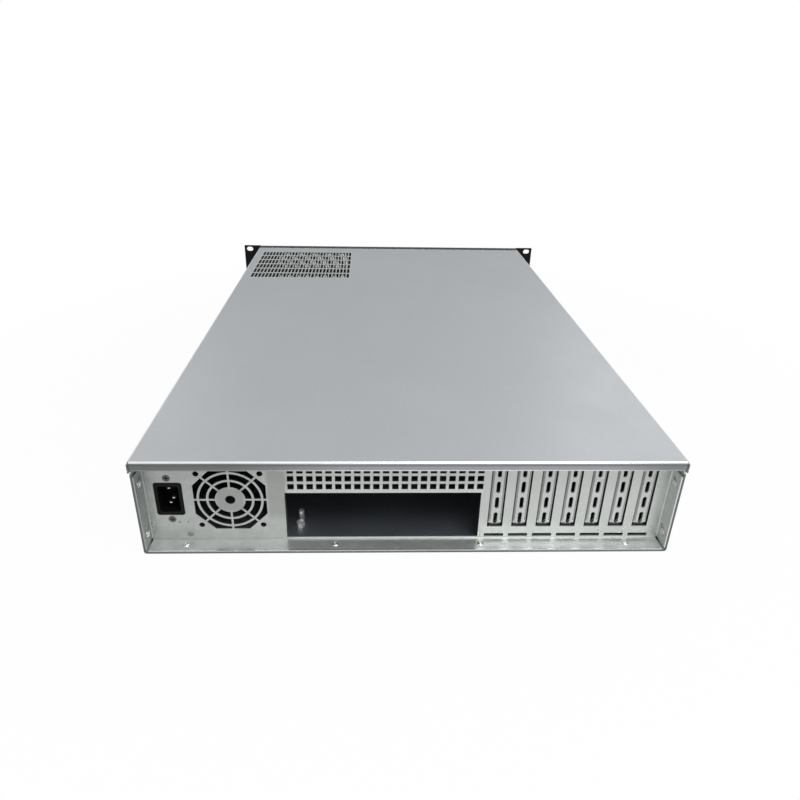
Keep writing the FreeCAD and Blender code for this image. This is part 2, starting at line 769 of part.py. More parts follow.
def floor_studs():
    """The tall and the short six-sided stud on the floor, each with a threaded hole."""
    studs = []
    for inset, height, flats in zip(stud_insets, stud_heights, stud_flats):
        y = inner_face_y - inset
        stud = prism_z(board_first_column_x, y, flats, floor_z, floor_z + height)
        studs.append(stud.cut(rod_z(board_first_column_x, y, stud_bore_radius,
                                    floor_z + body_sheet, floor_z + height + 1)))
    return Part.makeCompound(studs)


def top_cover():
    """The sliding cover: top, side flanges, rear lip and the vent field over the power supply."""
    half = case_width / 2
    radius = cover_bend + cover_sheet
    rear_y = case_length - radius
    flange_z = top_z - cover_flange_height
    shell = folded([(-half, flange_z), (-half, top_z), (half, top_z), (half, flange_z)],
                   cover_sheet, cover_bend, "XZ", cover_front_y, rear_y)
    lip = folded([(rear_y - radius, top_z), (case_length, top_z), (case_length, top_z - cover_lip_height)],
                 cover_sheet, cover_bend, "YZ", -half + radius, half - radius)
    low_edges = [edge for edge in lip.Edges
                 if abs(edge.tangentAt(edge.FirstParameter).y) > 0.9
                 and edge.BoundBox.ZMax < top_z - cover_lip_height + cover_sheet / 2]
    lip = lip.makeFillet(radius, low_edges)
    tails = [block((side * half - (cover_sheet if side > 0 else 0),
                    side * half + (0 if side > 0 else cover_sheet)),
                   (rear_y - radius, case_length), (flange_z, top_z - radius)) for side in (-1, 1)]
    cover = joined([shell, lip] + tails)
    cuts = []
    for column in range(cover_vent_columns):
        for row in range(cover_vent_rows):
            x = cover_vent_centre_x + (column - (cover_vent_columns - 1) / 2) * cover_vent_pitch_x
            y = cover_vent_centre_y + (row - (cover_vent_rows - 1) / 2) * cover_vent_pitch_y
            cuts.append(block((x - cover_vent_width / 2, x + cover_vent_width / 2),
                              (y - cover_vent_length / 2, y + cover_vent_length / 2),
                              (cover_under_z - 1, top_z + 1)))
    for side in (-1, 1):
        for place in cover_screw_places:
            cuts.append(cone(V(side * half, place, top_z - cover_screw_drop), V(-side, 0, 0),
                             countersunk_radius + screw_clearance,
                             countersunk_radius - cover_sheet + screw_clearance, cover_sheet))
    return cover.cut(cuts)


def cover_screws():
    """The countersunk screws that hold the cover's side flanges to the tray."""
    screws = []
    for side in (-1, 1):
        for place in cover_screw_places:
            start = V(side * case_width / 2, place, top_z - cover_screw_drop)
            head = cone(start, V(-side, 0, 0), countersunk_radius, countersunk_radius - cover_sheet, cover_sheet)
            shank = Part.makeCylinder(small_screw_radius, cover_clearance + 2 * cover_sheet + body_sheet,
                                      start, V(-side, 0, 0))
            screws.append(joined([head, shank]))
    return Part.makeCompound(screws)


def front_panel():
    """The black front panel: ears with rack slots, a top flange, air slots and control holes."""
    half = panel_width / 2
    flange_x = case_width / 2 - cover_clearance
    top = panel_height / 2
    flanged = folded([(-panel_sheet, -top), (-panel_sheet, top), (panel_flange_depth, top)],
                     panel_sheet, panel_bend, "YZ", -flange_x, flange_x)
    ears = [block((-half, -flange_x), (-panel_sheet, 0), (-top, top)),
            block((flange_x, half), (-panel_sheet, 0), (-top, top))]
    panel = joined([flanged] + ears)
    through = (-panel_sheet - 1, 1)
    cuts = []
    for side in (-1, 1):
        for level in (-1, 1):
            cuts.append(stadium(side * rack_hole_x, level * rack_hole_z, rack_slot_height,
                                rack_slot_length, through[0], through[1], False))
            cuts.append(rod_y(side * handle_x, level * handle_hole_spacing / 2,
                              small_screw_radius + screw_clearance, through[0], through[1]))
            cuts.append(cone(V(side * panel_screw_x(), -panel_sheet, level * panel_screw_spacing_z / 2),
                             V(0, 1, 0), countersunk_radius + screw_clearance,
                             countersunk_radius + screw_clearance - panel_sheet, panel_sheet))
            cuts.append(rod_y(side * panel_screw_x(), level * panel_screw_spacing_z / 2,
                              small_screw_radius + screw_clearance, through[0], through[1]))
    cuts += air_slots((cage_left_x + cage_right_x) / 2, 2 * cage_outer_width, through)
    cuts += air_slots(supply_centre_x, supply_width, through)
    cuts += control_cuts(through)
    return panel.cut(cuts)


def air_slots(centre_x, width, through):
    """The cutters of one field of upright air slots, in front of pieces of that width."""
    cuts = []
    columns = int((width - 2 * front_slot_margin) / front_slot_pitch)
    for column in range(columns):
        x = centre_x + (column - (columns - 1) / 2) * front_slot_pitch
        for z in front_slot_rows:
            cuts.append(block((x - front_slot_width / 2, x + front_slot_width / 2), through,
                              (z - front_slot_length / 2, z + front_slot_length / 2)))
    return cuts


def control_cuts(through):
    """The cutters of the holes for the buttons, lenses, sockets and screws."""
    cuts = [rod_y(control_x, power_z, power_radius + button_gap, through[0], through[1]),
            rod_y(control_x, reset_z, reset_radius + button_gap, through[0], through[1])]
    for z in lens_places:
        cuts.append(rod_y(control_x, z, lens_radius + screw_clearance, through[0], through[1]))
    for z in usb_places:
        cuts.append(block((control_x - usb_width / 2 - usb_fit, control_x + usb_width / 2 + usb_fit), through,
                          (z - usb_height / 2 - usb_fit, z + usb_height / 2 + usb_fit)))
    for x, z in control_screw_points():
        cuts.append(cone(V(x, -panel_sheet, z), V(0, 1, 0), countersunk_radius + screw_clearance,
                         countersunk_radius + screw_clearance - panel_sheet, panel_sheet))
        cuts.append(rod_y(x, z, small_screw_radius + screw_clearance, through[0], through[1]))
    return cuts


def control_screw_points():
    """The X and Z of the two screws that hold the control holder and its board."""
    return ((control_x - control_screw_offset, control_screw_places[0]),
            (control_x + control_screw_offset, control_screw_places[1]))


def panel_screws():
    """The countersunk screws that hold the front panel to the tray."""
    screws = []
    for side in (-1, 1):
        for level in (-1, 1):
            x = side * panel_screw_x()
            z = level * panel_screw_spacing_z / 2
            head = cone(V(x, -panel_sheet, z), V(0, 1, 0), countersunk_radius,
                        countersunk_radius - panel_sheet, panel_sheet)
            shank = rod_y(x, z, small_screw_radius, -panel_sheet / 2, 3 * body_sheet)
            screws.append(joined([head, shank]))
    return Part.makeCompound(screws)


def handle(side):
    """A bowed front handle, folded from flat bar, standing in front of one ear."""
    reach = handle_hole_spacing / 2 + handle_thickness / 2
    front = -panel_sheet - handle_reach
    bar = folded([(-panel_sheet, reach), (front, reach), (front, -reach), (-panel_sheet, -reach)][::-1],
                 handle_thickness, handle_bend, "YZ",
                 side * handle_x - handle_width / 2, side * handle_x + handle_width / 2)
    holes = [rod_y(side * handle_x, level * handle_hole_spacing / 2, small_screw_radius + screw_clearance,
                   -panel_sheet - 3 * handle_thickness, 0) for level in (-1, 1)]
    return bar.cut(holes)


def handle_screws():
    """The screws that hold the handles, with their heads behind the ears."""
    screws = []
    for side in (-1, 1):
        for level in (-1, 1):
            x = side * handle_x
            z = level * handle_hole_spacing / 2
            shank = rod_y(x, z, small_screw_radius, -panel_sheet - 2 * handle_thickness, 0)
            head = cone(V(x, 0, z), V(0, 1, 0), small_head_radius, small_head_radius * 0.8, small_head_height)
            screws.append(joined([shank, head]))
    return Part.makeCompound(screws)


def drive_cage(centre_x):
    """A drive cage: an open channel on the floor, with slots for the drives' screws."""
    half = drive_width / 2 + drive_fit + cage_sheet
    cage_top_z = floor_z + cage_rise
    channel = folded([(centre_x + half, cage_top_z), (centre_x + half, floor_z), (centre_x - half, floor_z),
                      (centre_x - half, cage_top_z)],
                     cage_sheet, cage_sheet, "XZ", cage_front_y, cage_front_y + cage_length)
    cuts = []
    for y in cage_slot_places:
        for rise in cage_slot_rises:
            z = floor_z + rise
            cuts.append(block((centre_x - 2 * half, centre_x + 2 * half),
                              (cage_front_y + y - cage_slot_length / 2, cage_front_y + y + cage_slot_length / 2),
                              (z - cage_slot_height / 2, z + cage_slot_height / 2)))
    for y in cage_foot_places:
        cuts.append(rod_z(centre_x, cage_front_y + y, small_screw_radius + screw_clearance,
                          floor_z - 1, floor_z + cage_sheet + 1))
    return channel.cut(cuts)


def power_supply_bracket():
    """The bracket that the power supply's rear face is screwed to."""
    x = supply_centre_x
    half = supply_width / 2
    plate = folded([(supply_rear_y + bracket_foot, floor_z), (supply_rear_y, floor_z),
                    (supply_rear_y, floor_z + supply_height)],
                   cage_sheet, cage_sheet, "YZ", x - half, x + half)
    through = (supply_rear_y - 1, supply_rear_y + cage_sheet + 1)
    middle_z = floor_z + supply_height / 2
    opening_x = half - supply_opening_side
    opening_z = supply_height / 2 - supply_opening_edge
    cuts = [block((x - opening_x, x + opening_x), through, (middle_z - opening_z, middle_z + opening_z))]
    side = half - supply_hole_side_inset
    rise = supply_height / 2 - supply_hole_top_inset
    for dx, dz in ((-side, rise), (side, rise), (-side, supply_hole_step - rise), (side, -rise)):
        cuts.append(rod_y(x + dx, middle_z + dz, supply_hole_radius, through[0], through[1]))
    for foot_side in (-1, 1):
        cuts.append(rod_z(x + foot_side * (half - supply_foot_inset), supply_rear_y + (bracket_foot + cage_sheet) / 2,
                          small_screw_radius + screw_clearance, floor_z - 1, floor_z + cage_sheet + 1))
    return plate.cut(cuts)


def fan_wall():
    """The wall across the case that holds three fans, with a gap for cables."""
    half = wall_inner_x - wall_side_gap
    top_half = wall_x - tray_lip_width - wall_side_gap
    core = folded([(wall_y + wall_foot, floor_z), (wall_y, floor_z), (wall_y, cover_under_z),
                   (wall_y + wall_foot, cover_under_z)],
                  cage_sheet, cage_sheet, "YZ", -top_half, top_half)
    wing_z = (floor_z + 2 * cage_sheet, cover_under_z - body_sheet - 2 * wall_side_gap - body_bend)
    wings = [block((-half, -top_half), (wall_y, wall_y + cage_sheet), wing_z),
             block((top_half, half), (wall_y, wall_y + cage_sheet), wing_z)]
    through = (wall_y - 1, wall_y + cage_sheet + 1)
    cuts = [block((cable_gap_x - cable_gap_width / 2, cable_gap_x + cable_gap_width / 2), through,
                  (-cable_gap_height / 2, cable_gap_height / 2))]
    reach = wall_fan_size / 2 - wall_fan_hole_inset
    for index in range(wall_fan_count):
        x = -wall_inner_x + wall_end_margin + index * wall_fan_pitch
        cuts.append(rod_y(x, 0, wall_fan_size / 2 - wall_fan_rim, through[0], through[1]))
        for dx in (-reach, reach):
            for dz in (-reach, reach):
                cuts.append(rod_y(x + dx, dz, wall_fan_screw_radius, through[0], through[1]))
    for side in (-1, 1):
        cuts.append(rod_z(side * wall_foot_x, wall_y + (wall_foot + cage_sheet) / 2,
                          small_screw_radius + screw_clearance, floor_z - 1, floor_z + cage_sheet + 1))
    return joined([core] + wings).cut(cuts)


def floor_screws():
    """The screws that hold the cages, the supply bracket and the fan wall to the floor."""
    seat_z = floor_z + cage_sheet
    screws = []
    for x, y in foot_screw_places():
        shank = rod_z(x, y, small_screw_radius, bottom_z, seat_z)
        head = cone(V(x, y, seat_z), V(0, 0, 1), small_head_radius, small_head_radius * 0.8, small_head_height)
        screws.append(joined([shank, head]))
    return Part.makeCompound(screws)


def control_holder():
    """The moulded holder behind the panel that guides the buttons and lenses."""
    half = holder_width / 2
    holder = block((control_x - half, control_x + half), (0, holder_depth), (holder_bottom_z, holder_top_z))
    cuts = []
    for z, radius in ((power_z, power_radius), (reset_z, reset_radius)):
        pocket = radius + button_collar + button_gap
        cuts.append(rod_y(control_x, z, pocket, -1, button_pocket_y()))
        cuts.append(rod_y(control_x, z, button_stem_radius + button_guide_clearance, -1, holder_depth + 1))
    for z in lens_places:
        cuts.append(rod_y(control_x, z, lens_radius + screw_clearance, -1, holder_depth + 1))
    for x, z in control_screw_points():
        cuts.append(rod_y(x, z, small_screw_radius + screw_clearance, -1, holder_depth + 1))
    return holder.cut(cuts)


def button_pocket_y():
    """The depth of the holder's pockets, which lets a button's collar travel."""
    return button_collar_gap + button_collar_thickness + button_travel + button_collar_gap


def button(z, radius):
    """A push button: cap, collar behind the panel and a guided stem."""
    collar_back = button_collar_gap + button_collar_thickness
    cap = rod_y(control_x, z, radius, -panel_sheet - button_proud, collar_back)
    collar = rod_y(control_x, z, radius + button_collar, button_collar_gap, collar_back)
    stem = rod_y(control_x, z, button_stem_radius, button_collar_gap,
                 holder_depth - button_travel - button_collar_gap)
    return joined([cap, collar, stem])


def indicator_lenses():
    """The two indicator lenses."""
    return Part.makeCompound([rod_y(control_x, z, lens_radius, -panel_sheet - lens_proud, holder_depth)
                              for z in lens_places])


def usb_socket(z):
    """A socket: a thin metal shell with a tongue, standing on the control board."""
    half_x = usb_width / 2
    half_z = usb_height / 2
    shell = block((control_x - half_x, control_x + half_x), (-panel_sheet, holder_depth), (z - half_z, z + half_z))
    hollow = block((control_x - half_x + usb_wall, control_x + half_x - usb_wall),
                   (-panel_sheet - 1, holder_depth - usb_wall), (z - half_z + usb_wall, z + half_z - usb_wall))
    tongue = block((control_x - usb_tongue_width / 2, control_x + usb_tongue_width / 2),
                   (-panel_sheet + usb_tongue_setback, holder_depth - usb_wall / 2),
                   (z, z + usb_tongue_height))
    return joined([shell.cut(hollow), tongue])


def control_board():
    """The circuit board behind the holder, which carries the sockets."""
    half = holder_width / 2
    board = block((control_x - half, control_x + half), (holder_depth, holder_depth + board_thickness),
                  (board_bottom_z, holder_top_z))
    return board.cut([rod_y(x, z, small_screw_radius + screw_clearance, holder_depth - 1,
                            holder_depth + board_thickness + 1) for x, z in control_screw_points()])


def control_screws():
    """The two countersunk screws through the panel, the holder and the board."""
    screws = []
    for x, z in control_screw_points():
        head = cone(V(x, -panel_sheet, z), V(0, 1, 0), countersunk_radius, countersunk_radius - panel_sheet,
                    panel_sheet)
        shank = rod_y(x, z, small_screw_radius, -panel_sheet / 2, holder_depth + board_thickness + nut_height)
        screws.append(joined([head, shank]))
    return Part.makeCompound(screws)


def control_nuts():
    """The nuts behind the control board."""
    back = holder_depth + board_thickness
    nuts = []
    for x, z in control_screw_points():
        nut = prism_y(x, z, nut_flats, back, back + nut_height)
        nuts.append(nut.cut(rod_y(x, z, small_screw_radius + screw_clearance, back - 1, back + 2 * nut_height)))
    return Part.makeCompound(nuts)


def build():
    """Every piece of the case, by its name."""
    pieces = {"chassis_tray": chassis_tray(),
              "rear_panel": rear_panel(),
              "panel_rivets": panel_rivets(),
              "top_cover": top_cover(),
              "cover_screws": cover_screws(),
              "front_panel": front_panel(),
              "panel_screws": panel_screws(),
              "handle_left": handle(-1),
              "handle_right": handle(1),
              "handle_screws": handle_screws()}
    for index in range(slot_count):
        pieces["slot_cover_%d" % (index + 1)] = slot_cover(index)
    pieces.update({"slot_cover_screws": slot_cover_screws(),
                   "inlet_body": inlet_body(),
                   "inlet_pins": inlet_pins(),
                   "inlet_screws": inlet_screws(),
                   "inlet_nuts": inlet_nuts(),
                   "opening_angle": opening_angle(),
                   "floor_studs": floor_studs(),
                   "drive_cage_left": drive_cage(cage_left_x),
                   "drive_cage_right": drive_cage(cage_right_x),
                   "power_supply_bracket": power_supply_bracket(),
                   "fan_wall": fan_wall(),
                   "floor_screws": floor_screws(),
                   "control_holder": control_holder(),
                   "control_board": control_board(),
                   "control_screws": control_screws(),
                   "control_nuts": control_nuts(),
                   "power_button": button(power_z, power_radius),
                   "reset_button": button(reset_z, reset_radius),
                   "indicator_lenses": indicator_lenses(),
                   "usb_socket_upper": usb_socket(usb_places[0]),
                   "usb_socket_lower": usb_socket(usb_places[1])})
    return pieces


os.makedirs("parts", exist_ok=True)
for name, shape in build().items():
    shape.exportStep("parts/%s.step" % name)
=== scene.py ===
"""Looks for an empty two-unit rackmount server case, seen from behind and above.

Lengths are metres in the part's own frame: X to the right seen from the front, Y towards the
rear and Z up, with the origin between the rack holes on the back face of the front panel.
"""

import logging
import math
from dataclasses import dataclass, field
from enum import Enum
from typing import Iterable, Sequence

import bpy
import numpy as np
from mathutils import Matrix, Vector


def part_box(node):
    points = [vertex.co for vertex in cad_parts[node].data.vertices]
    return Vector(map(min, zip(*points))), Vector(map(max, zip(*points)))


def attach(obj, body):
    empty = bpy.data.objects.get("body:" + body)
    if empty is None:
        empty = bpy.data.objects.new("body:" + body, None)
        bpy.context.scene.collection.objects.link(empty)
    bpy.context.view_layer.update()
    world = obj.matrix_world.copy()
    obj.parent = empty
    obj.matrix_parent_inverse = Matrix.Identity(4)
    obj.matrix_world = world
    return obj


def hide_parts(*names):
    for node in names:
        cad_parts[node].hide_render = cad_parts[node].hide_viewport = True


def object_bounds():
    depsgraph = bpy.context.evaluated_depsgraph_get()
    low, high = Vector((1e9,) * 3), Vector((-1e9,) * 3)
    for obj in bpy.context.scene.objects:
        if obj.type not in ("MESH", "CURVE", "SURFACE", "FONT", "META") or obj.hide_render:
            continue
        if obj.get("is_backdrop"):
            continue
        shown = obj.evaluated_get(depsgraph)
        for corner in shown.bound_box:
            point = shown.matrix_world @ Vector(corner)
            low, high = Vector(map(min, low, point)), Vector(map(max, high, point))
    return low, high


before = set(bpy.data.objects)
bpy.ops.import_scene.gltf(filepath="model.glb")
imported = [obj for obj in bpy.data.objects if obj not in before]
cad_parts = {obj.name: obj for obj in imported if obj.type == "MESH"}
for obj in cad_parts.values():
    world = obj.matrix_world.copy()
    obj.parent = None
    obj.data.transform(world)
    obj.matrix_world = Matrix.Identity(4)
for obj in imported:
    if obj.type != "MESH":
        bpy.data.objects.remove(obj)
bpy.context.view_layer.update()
log = logging.getLogger("server_case")

Array = np.ndarray
Triple = tuple[float, float, float]
Colour = Triple
Pair = tuple[float, float]
Socket = bpy.types.NodeSocket

MM = 0.001
SLOT_FIRST_X = -72.0 * MM
SLOT_PITCH = 20.32 * MM
SLOT_COUNT = 7
PIN_TIPS: tuple[Triple, ...] = ((193.2 * MM, 630.0 * MM, 6.2 * MM),
                                (193.2 * MM, 630.0 * MM, -7.8 * MM),
                                (189.2 * MM, 633.4 * MM, -0.8 * MM))

# A dark tone for grime, and for painted shade along lines, round vents and round rivets.
GRIME_AND_SHADE: Colour = (0.10, 0.105, 0.10)
# A light tone for painted highlights along polished bends and at the pins' tips.
HIGHLIGHT_ZINC: Colour = (0.86, 0.87, 0.88)
SKIN_OCTAVES = 2.0
SHEET_SKIN = 0.1 * MM
MOULDED_SKIN = 0.05 * MM
SOFT_EDGE = 0.2 * MM
MARK_CORE = 0.5

# The axes that a mark's distance counts along: a line runs along the axis that doesn't count.
LINE_ALONG_X: Triple = (0.0, 1.0, 1.0)
LINE_ALONG_Y: Triple = (1.0, 0.0, 1.0)
LINE_ALONG_Z: Triple = (1.0, 1.0, 0.0)
SPOT: Triple = (1.0, 1.0, 1.0)


def smooth(values: Array, low: float, high: float) -> Array:
    """Blend from 0 to 1 as the values rise from low to high, level at both ends.

    Args:
        values: Any array.
        low: Where the blend starts.
        high: Where the blend ends.

    Returns:
        The cubic 3t squared minus 2t cubed of the clipped share t.
    """
    share = np.clip((values - low) / (high - low), 0.0, 1.0)
    return share * share * (3.0 - 2.0 * share)


def about(middle: float, spread: float) -> Pair:
    """Give the range that reaches a spread each way from its middle."""
    return middle - spread, middle + spread


def tube_faces(rows: int, columns: int) -> Array:
    """Number the quads of a grid of points whose last column joins its first.

    Args:
        rows: Points along the tube.
        columns: Points round it.

    Returns:
        An array of quads, four indices each.
    """
    i, j = np.meshgrid(np.arange(rows - 1), np.arange(columns), indexing="ij")
    here, after = i * columns, (i + 1) * columns
    k = (j + 1) % columns
    return np.stack([here + j, here + k, after + k, after + j], axis=-1).reshape(-1, 4)


def towards(direction: Sequence[float]) -> Array:
    """Build the turn that carries +Z onto a direction.

    Args:
        direction: A direction along one of the axes.

    Returns:
        A 3 by 3 matrix whose last column is the direction.
    """
    axis = Vector(direction).normalized()
    return np.array(Vector((0, 0, 1)).rotation_difference(axis).to_matrix())


def make_piece(name: str, parts: Iterable[tuple[Array, Array]],
               angle: float = 30.0) -> bpy.types.Object:
    """Join several point and face arrays into one object at the origin.

    Args:
        name: The piece's name.
        parts: Pairs of points and faces.
        angle: Edges that turn by more than this many degrees stay sharp.

    Returns:
        The new object, linked to the scene.
    """
    points, faces, start = [], [], 0
    for part_points, part_faces in parts:
        points.append(part_points)
        faces.append(part_faces + start)
        start += len(part_points)
    mesh = bpy.data.meshes.new(name)
    mesh.from_pydata(np.concatenate(points).tolist(), [],
                     [row for group in faces for row in group.tolist()])
    mesh.validate()
    mesh.shade_smooth()
    mesh.set_sharp_from_angle(angle=math.radians(angle))
    piece = bpy.data.objects.new(name, mesh)
    bpy.context.scene.collection.objects.link(piece)
    return piece


class Graph:
    """A short way to write a node material."""

    def __init__(self, name: str) -> None:
        """Start a material that holds only its output and the object coordinates.

        Args:
            name: The material's name.
        """
        self.material = bpy.data.materials.new(name)
        self.material.use_nodes = True
        self.tree = self.material.node_tree
        self.tree.nodes.clear()
        self.output = self.tree.nodes.new("ShaderNodeOutputMaterial")
        self.place = self.tree.nodes.new("ShaderNodeTexCoord").outputs["Object"]

    def node(self, kind: str, inputs: dict | None = None, **settings: object) -> bpy.types.Node:
        """Add a node, set its options and fill its sockets.

        Args:
            kind: The node type's name.
            inputs: Socket name or number to a value or another socket.
            settings: Attributes of the node.

        Returns:
            The node.
        """
        made = self.tree.nodes.new(kind)
        for key, value in settings.items():
            setattr(made, key, value)
        for key, value in (inputs or {}).items():
            if isinstance(value, Socket):
                self.tree.links.new(value, made.inputs[key])
            else:
                made.inputs[key].default_value = value
        return made

    def stretched(self, scale: Triple) -> Socket:
        """Give the object coordinates multiplied by three factors."""
        inputs = {"Vector": self.place, "Scale": scale}
        return self.node("ShaderNodeMapping", inputs).outputs["Vector"]

    def noise(self, scale: float, detail: float, vector: Socket | None = None,
              roughness: float = 0.55) -> Socket:
        """Give a noise between 0 and 1.

        Args:
            scale: Its features to a metre.
            detail: How many finer octaves it has.
            vector: Its coordinates, or the object's own where none are given.
            roughness: The share of its strength that each octave keeps.

        Returns:
            The noise.
        """
        inputs = {"Vector": vector or self.place, "Scale": scale, "Detail": detail,
                  "Roughness": roughness}
        return self.node("ShaderNodeTexNoise", inputs).outputs["Fac"]

    def axes(self) -> tuple[Socket, ...]:
        """Give the object coordinates one by one."""
        return tuple(self.node("ShaderNodeSeparateXYZ", {0: self.place}).outputs)

    def remap(self, value: Socket, source: Pair, target: Pair) -> Socket:
        """Carry a value from one range to another, clipped."""
        inputs = {"Value": value, "From Min": source[0], "From Max": source[1],
                  "To Min": target[0], "To Max": target[1]}
        return self.node("ShaderNodeMapRange", inputs).outputs["Result"]

    def maths(self, operation: str, a: object, b: object = 0.0) -> Socket:
        """Combine two values by one operation."""
        return self.node("ShaderNodeMath", {0: a, 1: b}, operation=operation).outputs[0]

    def vector(self, operation: str, *operands: object) -> bpy.types.bpy_prop_collection:
        """Combine vectors by one operation, and give the outputs."""
        inputs = dict(enumerate(operands))
        return self.node("ShaderNodeVectorMath", inputs, operation=operation).outputs

    def mixed(self, share: object, a: object, b: object, blend: str = "MIX") -> Socket:
        """Mix two colours by a share.

        Args:
            share: 0 for the first colour and 1 for the second.
            a: The first colour, or its socket.
            b: The second colour, or its socket.
            blend: How the second colour is laid on the first.

        Returns:
            The mixed colour.
        """
        made = self.node("ShaderNodeMix", {"Factor": share}, data_type="RGBA", blend_type=blend)
        for socket, value in ((made.inputs[6], a), (made.inputs[7], b)):
            if isinstance(value, Socket):
                self.tree.links.new(value, socket)
            else:
                socket.default_value = (*value, 1.0)
        return made.outputs[2]

    def shaded(self, level: Socket, tone: Colour) -> Socket:
        """Multiply a colour by a level."""
        grey = self.node("ShaderNodeCombineColor", {0: level, 1: level, 2: level}).outputs[0]
        return self.mixed(1.0, grey, tone, "MULTIPLY")

    def bump(self, height: Socket, strength: float, distance: float) -> Socket:
        """Turn a height into a bumped normal."""
        inputs = {"Height": height, "Strength": strength, "Distance": distance}
        return self.node("ShaderNodeBump", inputs).outputs["Normal"]

    def nearness(self, point: Triple, across: Triple, reach: float, both_sides: bool) -> Socket:
        """Give 1 near a line or a point, falling to 0 from its core's share of the reach on.

        Args:
            point: A point of the line.
            across: 1 for each axis that distance is counted along, 0 for the line's own way.
            reach: Where the value has fallen to 0.
            both_sides: Whether the mark is repeated on the other side of X = 0.

        Returns:
            The share, from 1 to 0.
        """
        start = self.place
        if both_sides:
            x, y, z = self.axes()
            folded = {0: self.maths("ABSOLUTE", x), 1: y, 2: z}
            start = self.node("ShaderNodeCombineXYZ", folded).outputs[0]
        away = self.vector("SUBTRACT", start, point)[0]
        length = self.vector("LENGTH", self.vector("MULTIPLY", away, across)[0])["Value"]
        return self.remap(length, (reach * MARK_CORE, reach), (1.0, 0.0))

    def strongest(self, shares: Sequence[Socket]) -> Socket | float:
        """Give the largest of several shares, or 0 where there are none.

        Args:
            shares: The shares.

        Returns:
            The largest share.
        """
        best: Socket | float = 0.0
        for share in shares:
            best = self.maths("MAXIMUM", best, share)
        return best

    def finish(self, **sockets: object) -> bpy.types.Material:
        """Close the material with one principled shader.

        Args:
            sockets: Socket names, with underscores for spaces, to values or sockets.

        Returns:
            The material.
        """
        shader = self.node("ShaderNodeBsdfPrincipled")
        for key, value in sockets.items():
            socket = shader.inputs[key.replace("_", " ")]
            if isinstance(value, Socket):
                self.tree.links.new(value, socket)
            else:
                socket.default_value = value
        self.tree.links.new(shader.outputs[0], self.output.inputs["Surface"])
        return self.material


@dataclass(frozen=True)
class Mottle:
    """A noise: its features to a metre, its octaves, and the span of it that counts."""

    scale: float
    detail: float
    span: Pair = (0.3, 0.7)
    roughness: float = 0.55

    def spread(self, g: Graph, target: Pair, vector: Socket | None = None) -> Socket:
        """Give the noise carried from its span to a range."""
        noise = g.noise(self.scale, self.detail, vector, self.roughness)
        return g.remap(noise, self.span, target)


STAINS = Mottle(9.0, 5.0)
ROLLING_LINES = Mottle(60.0, 4.0, (0.25, 0.75))
DULL_PATCHES = Mottle(25.0, 6.0, (0.3, 0.75))
DUST_SPECKS = Mottle(700.0, 3.0, (0.35, 0.6))
# Breaks up the strength of the painted highlights.
HIGHLIGHT_WEAR = Mottle(45.0, 5.0, (0.25, 0.6))
RUBBED_SPOTS = Mottle(40.0, 8.0, (0.62, 0.78), 0.7)
PAINT_SHEEN = Mottle(120.0, 4.0)
PLASTIC_SHADE = Mottle(60.0, 3.0)
PLASTIC_SHEEN = Mottle(300.0, 3.0)
LACQUER_SHEEN = Mottle(80.0, 3.0)


@dataclass(frozen=True)
class Mark:
    """A painted highlight, painted shade or a spot: a point, the axes distance counts along, a
    reach.
    """

    point: Triple
    across: Triple
    reach: float
    both_sides: bool = True

    def share(self, g: Graph) -> Socket:
        """Give the mark's share in a material."""
        return g.nearness(self.point, self.across, self.reach, self.both_sides)


@dataclass(frozen=True)
class Zone:
    """A box whose faces wear another tone: painted shade or painted light on the faces in it."""

    low: Triple
    high: Triple
    tone: Colour
    strength: float = 1.0
    soft: Triple = (SOFT_EDGE, SOFT_EDGE, SOFT_EDGE)

    def share(self, g: Graph) -> Socket:
        """Give the zone's share: its strength inside the box, falling to 0 past its faces.

        Args:
            g: The material's graph.

        Returns:
            The share.
        """
        share: Socket | float = self.strength
        for value, low, high, soft in zip(g.axes(), self.low, self.high, self.soft):
            share = g.maths("MULTIPLY", share, g.remap(value, (low - soft, low), (0.0, 1.0)))
            share = g.maths("MULTIPLY", share, g.remap(value, (high, high + soft), (1.0, 0.0)))
        return share


@dataclass(frozen=True)
class Row:
    """Equal stripes across one axis: the row's middle, their pitch, number and half width."""

    middle: float
    pitch: float
    count: int
    half: float

    def share(self, g: Graph, value: Socket) -> Socket:
        """Give 1 in each stripe, and 0 between and past them.

        Args:
            g: The material's graph.
            value: The coordinate that the row runs along.

        Returns:
            The share.
        """
        first = self.middle - (self.count - 1) / 2 * self.pitch
        shifted = g.maths("ADD", value, self.pitch / 2 - first)
        turned = g.maths("FLOORED_MODULO", shifted, self.pitch)
        away = g.maths("ABSOLUTE", g.maths("SUBTRACT", turned, self.pitch / 2))
        share = g.remap(away, (self.half, self.half + SOFT_EDGE), (1.0, 0.0))
        reach = g.maths("ABSOLUTE", g.maths("SUBTRACT", value, self.middle))
        return g.maths("MULTIPLY", share, g.maths("LESS_THAN", reach, self.pitch * self.count / 2))


@dataclass(frozen=True)
class Lattice:
    """Rectangles where a row along X crosses a row along another axis: lines of painted shade."""

    along_x: Row
    other: Row
    axis: int
    strength: float

    def share(self, g: Graph) -> Socket:
        """Give the rectangles' share in a material.

        Args:
            g: The material's graph.

        Returns:
            The share.
        """
        axes = g.axes()
        both = g.maths("MULTIPLY", self.along_x.share(g, axes[0]),
                       self.other.share(g, axes[self.axis]))
        return g.maths("MULTIPLY", both, self.strength)


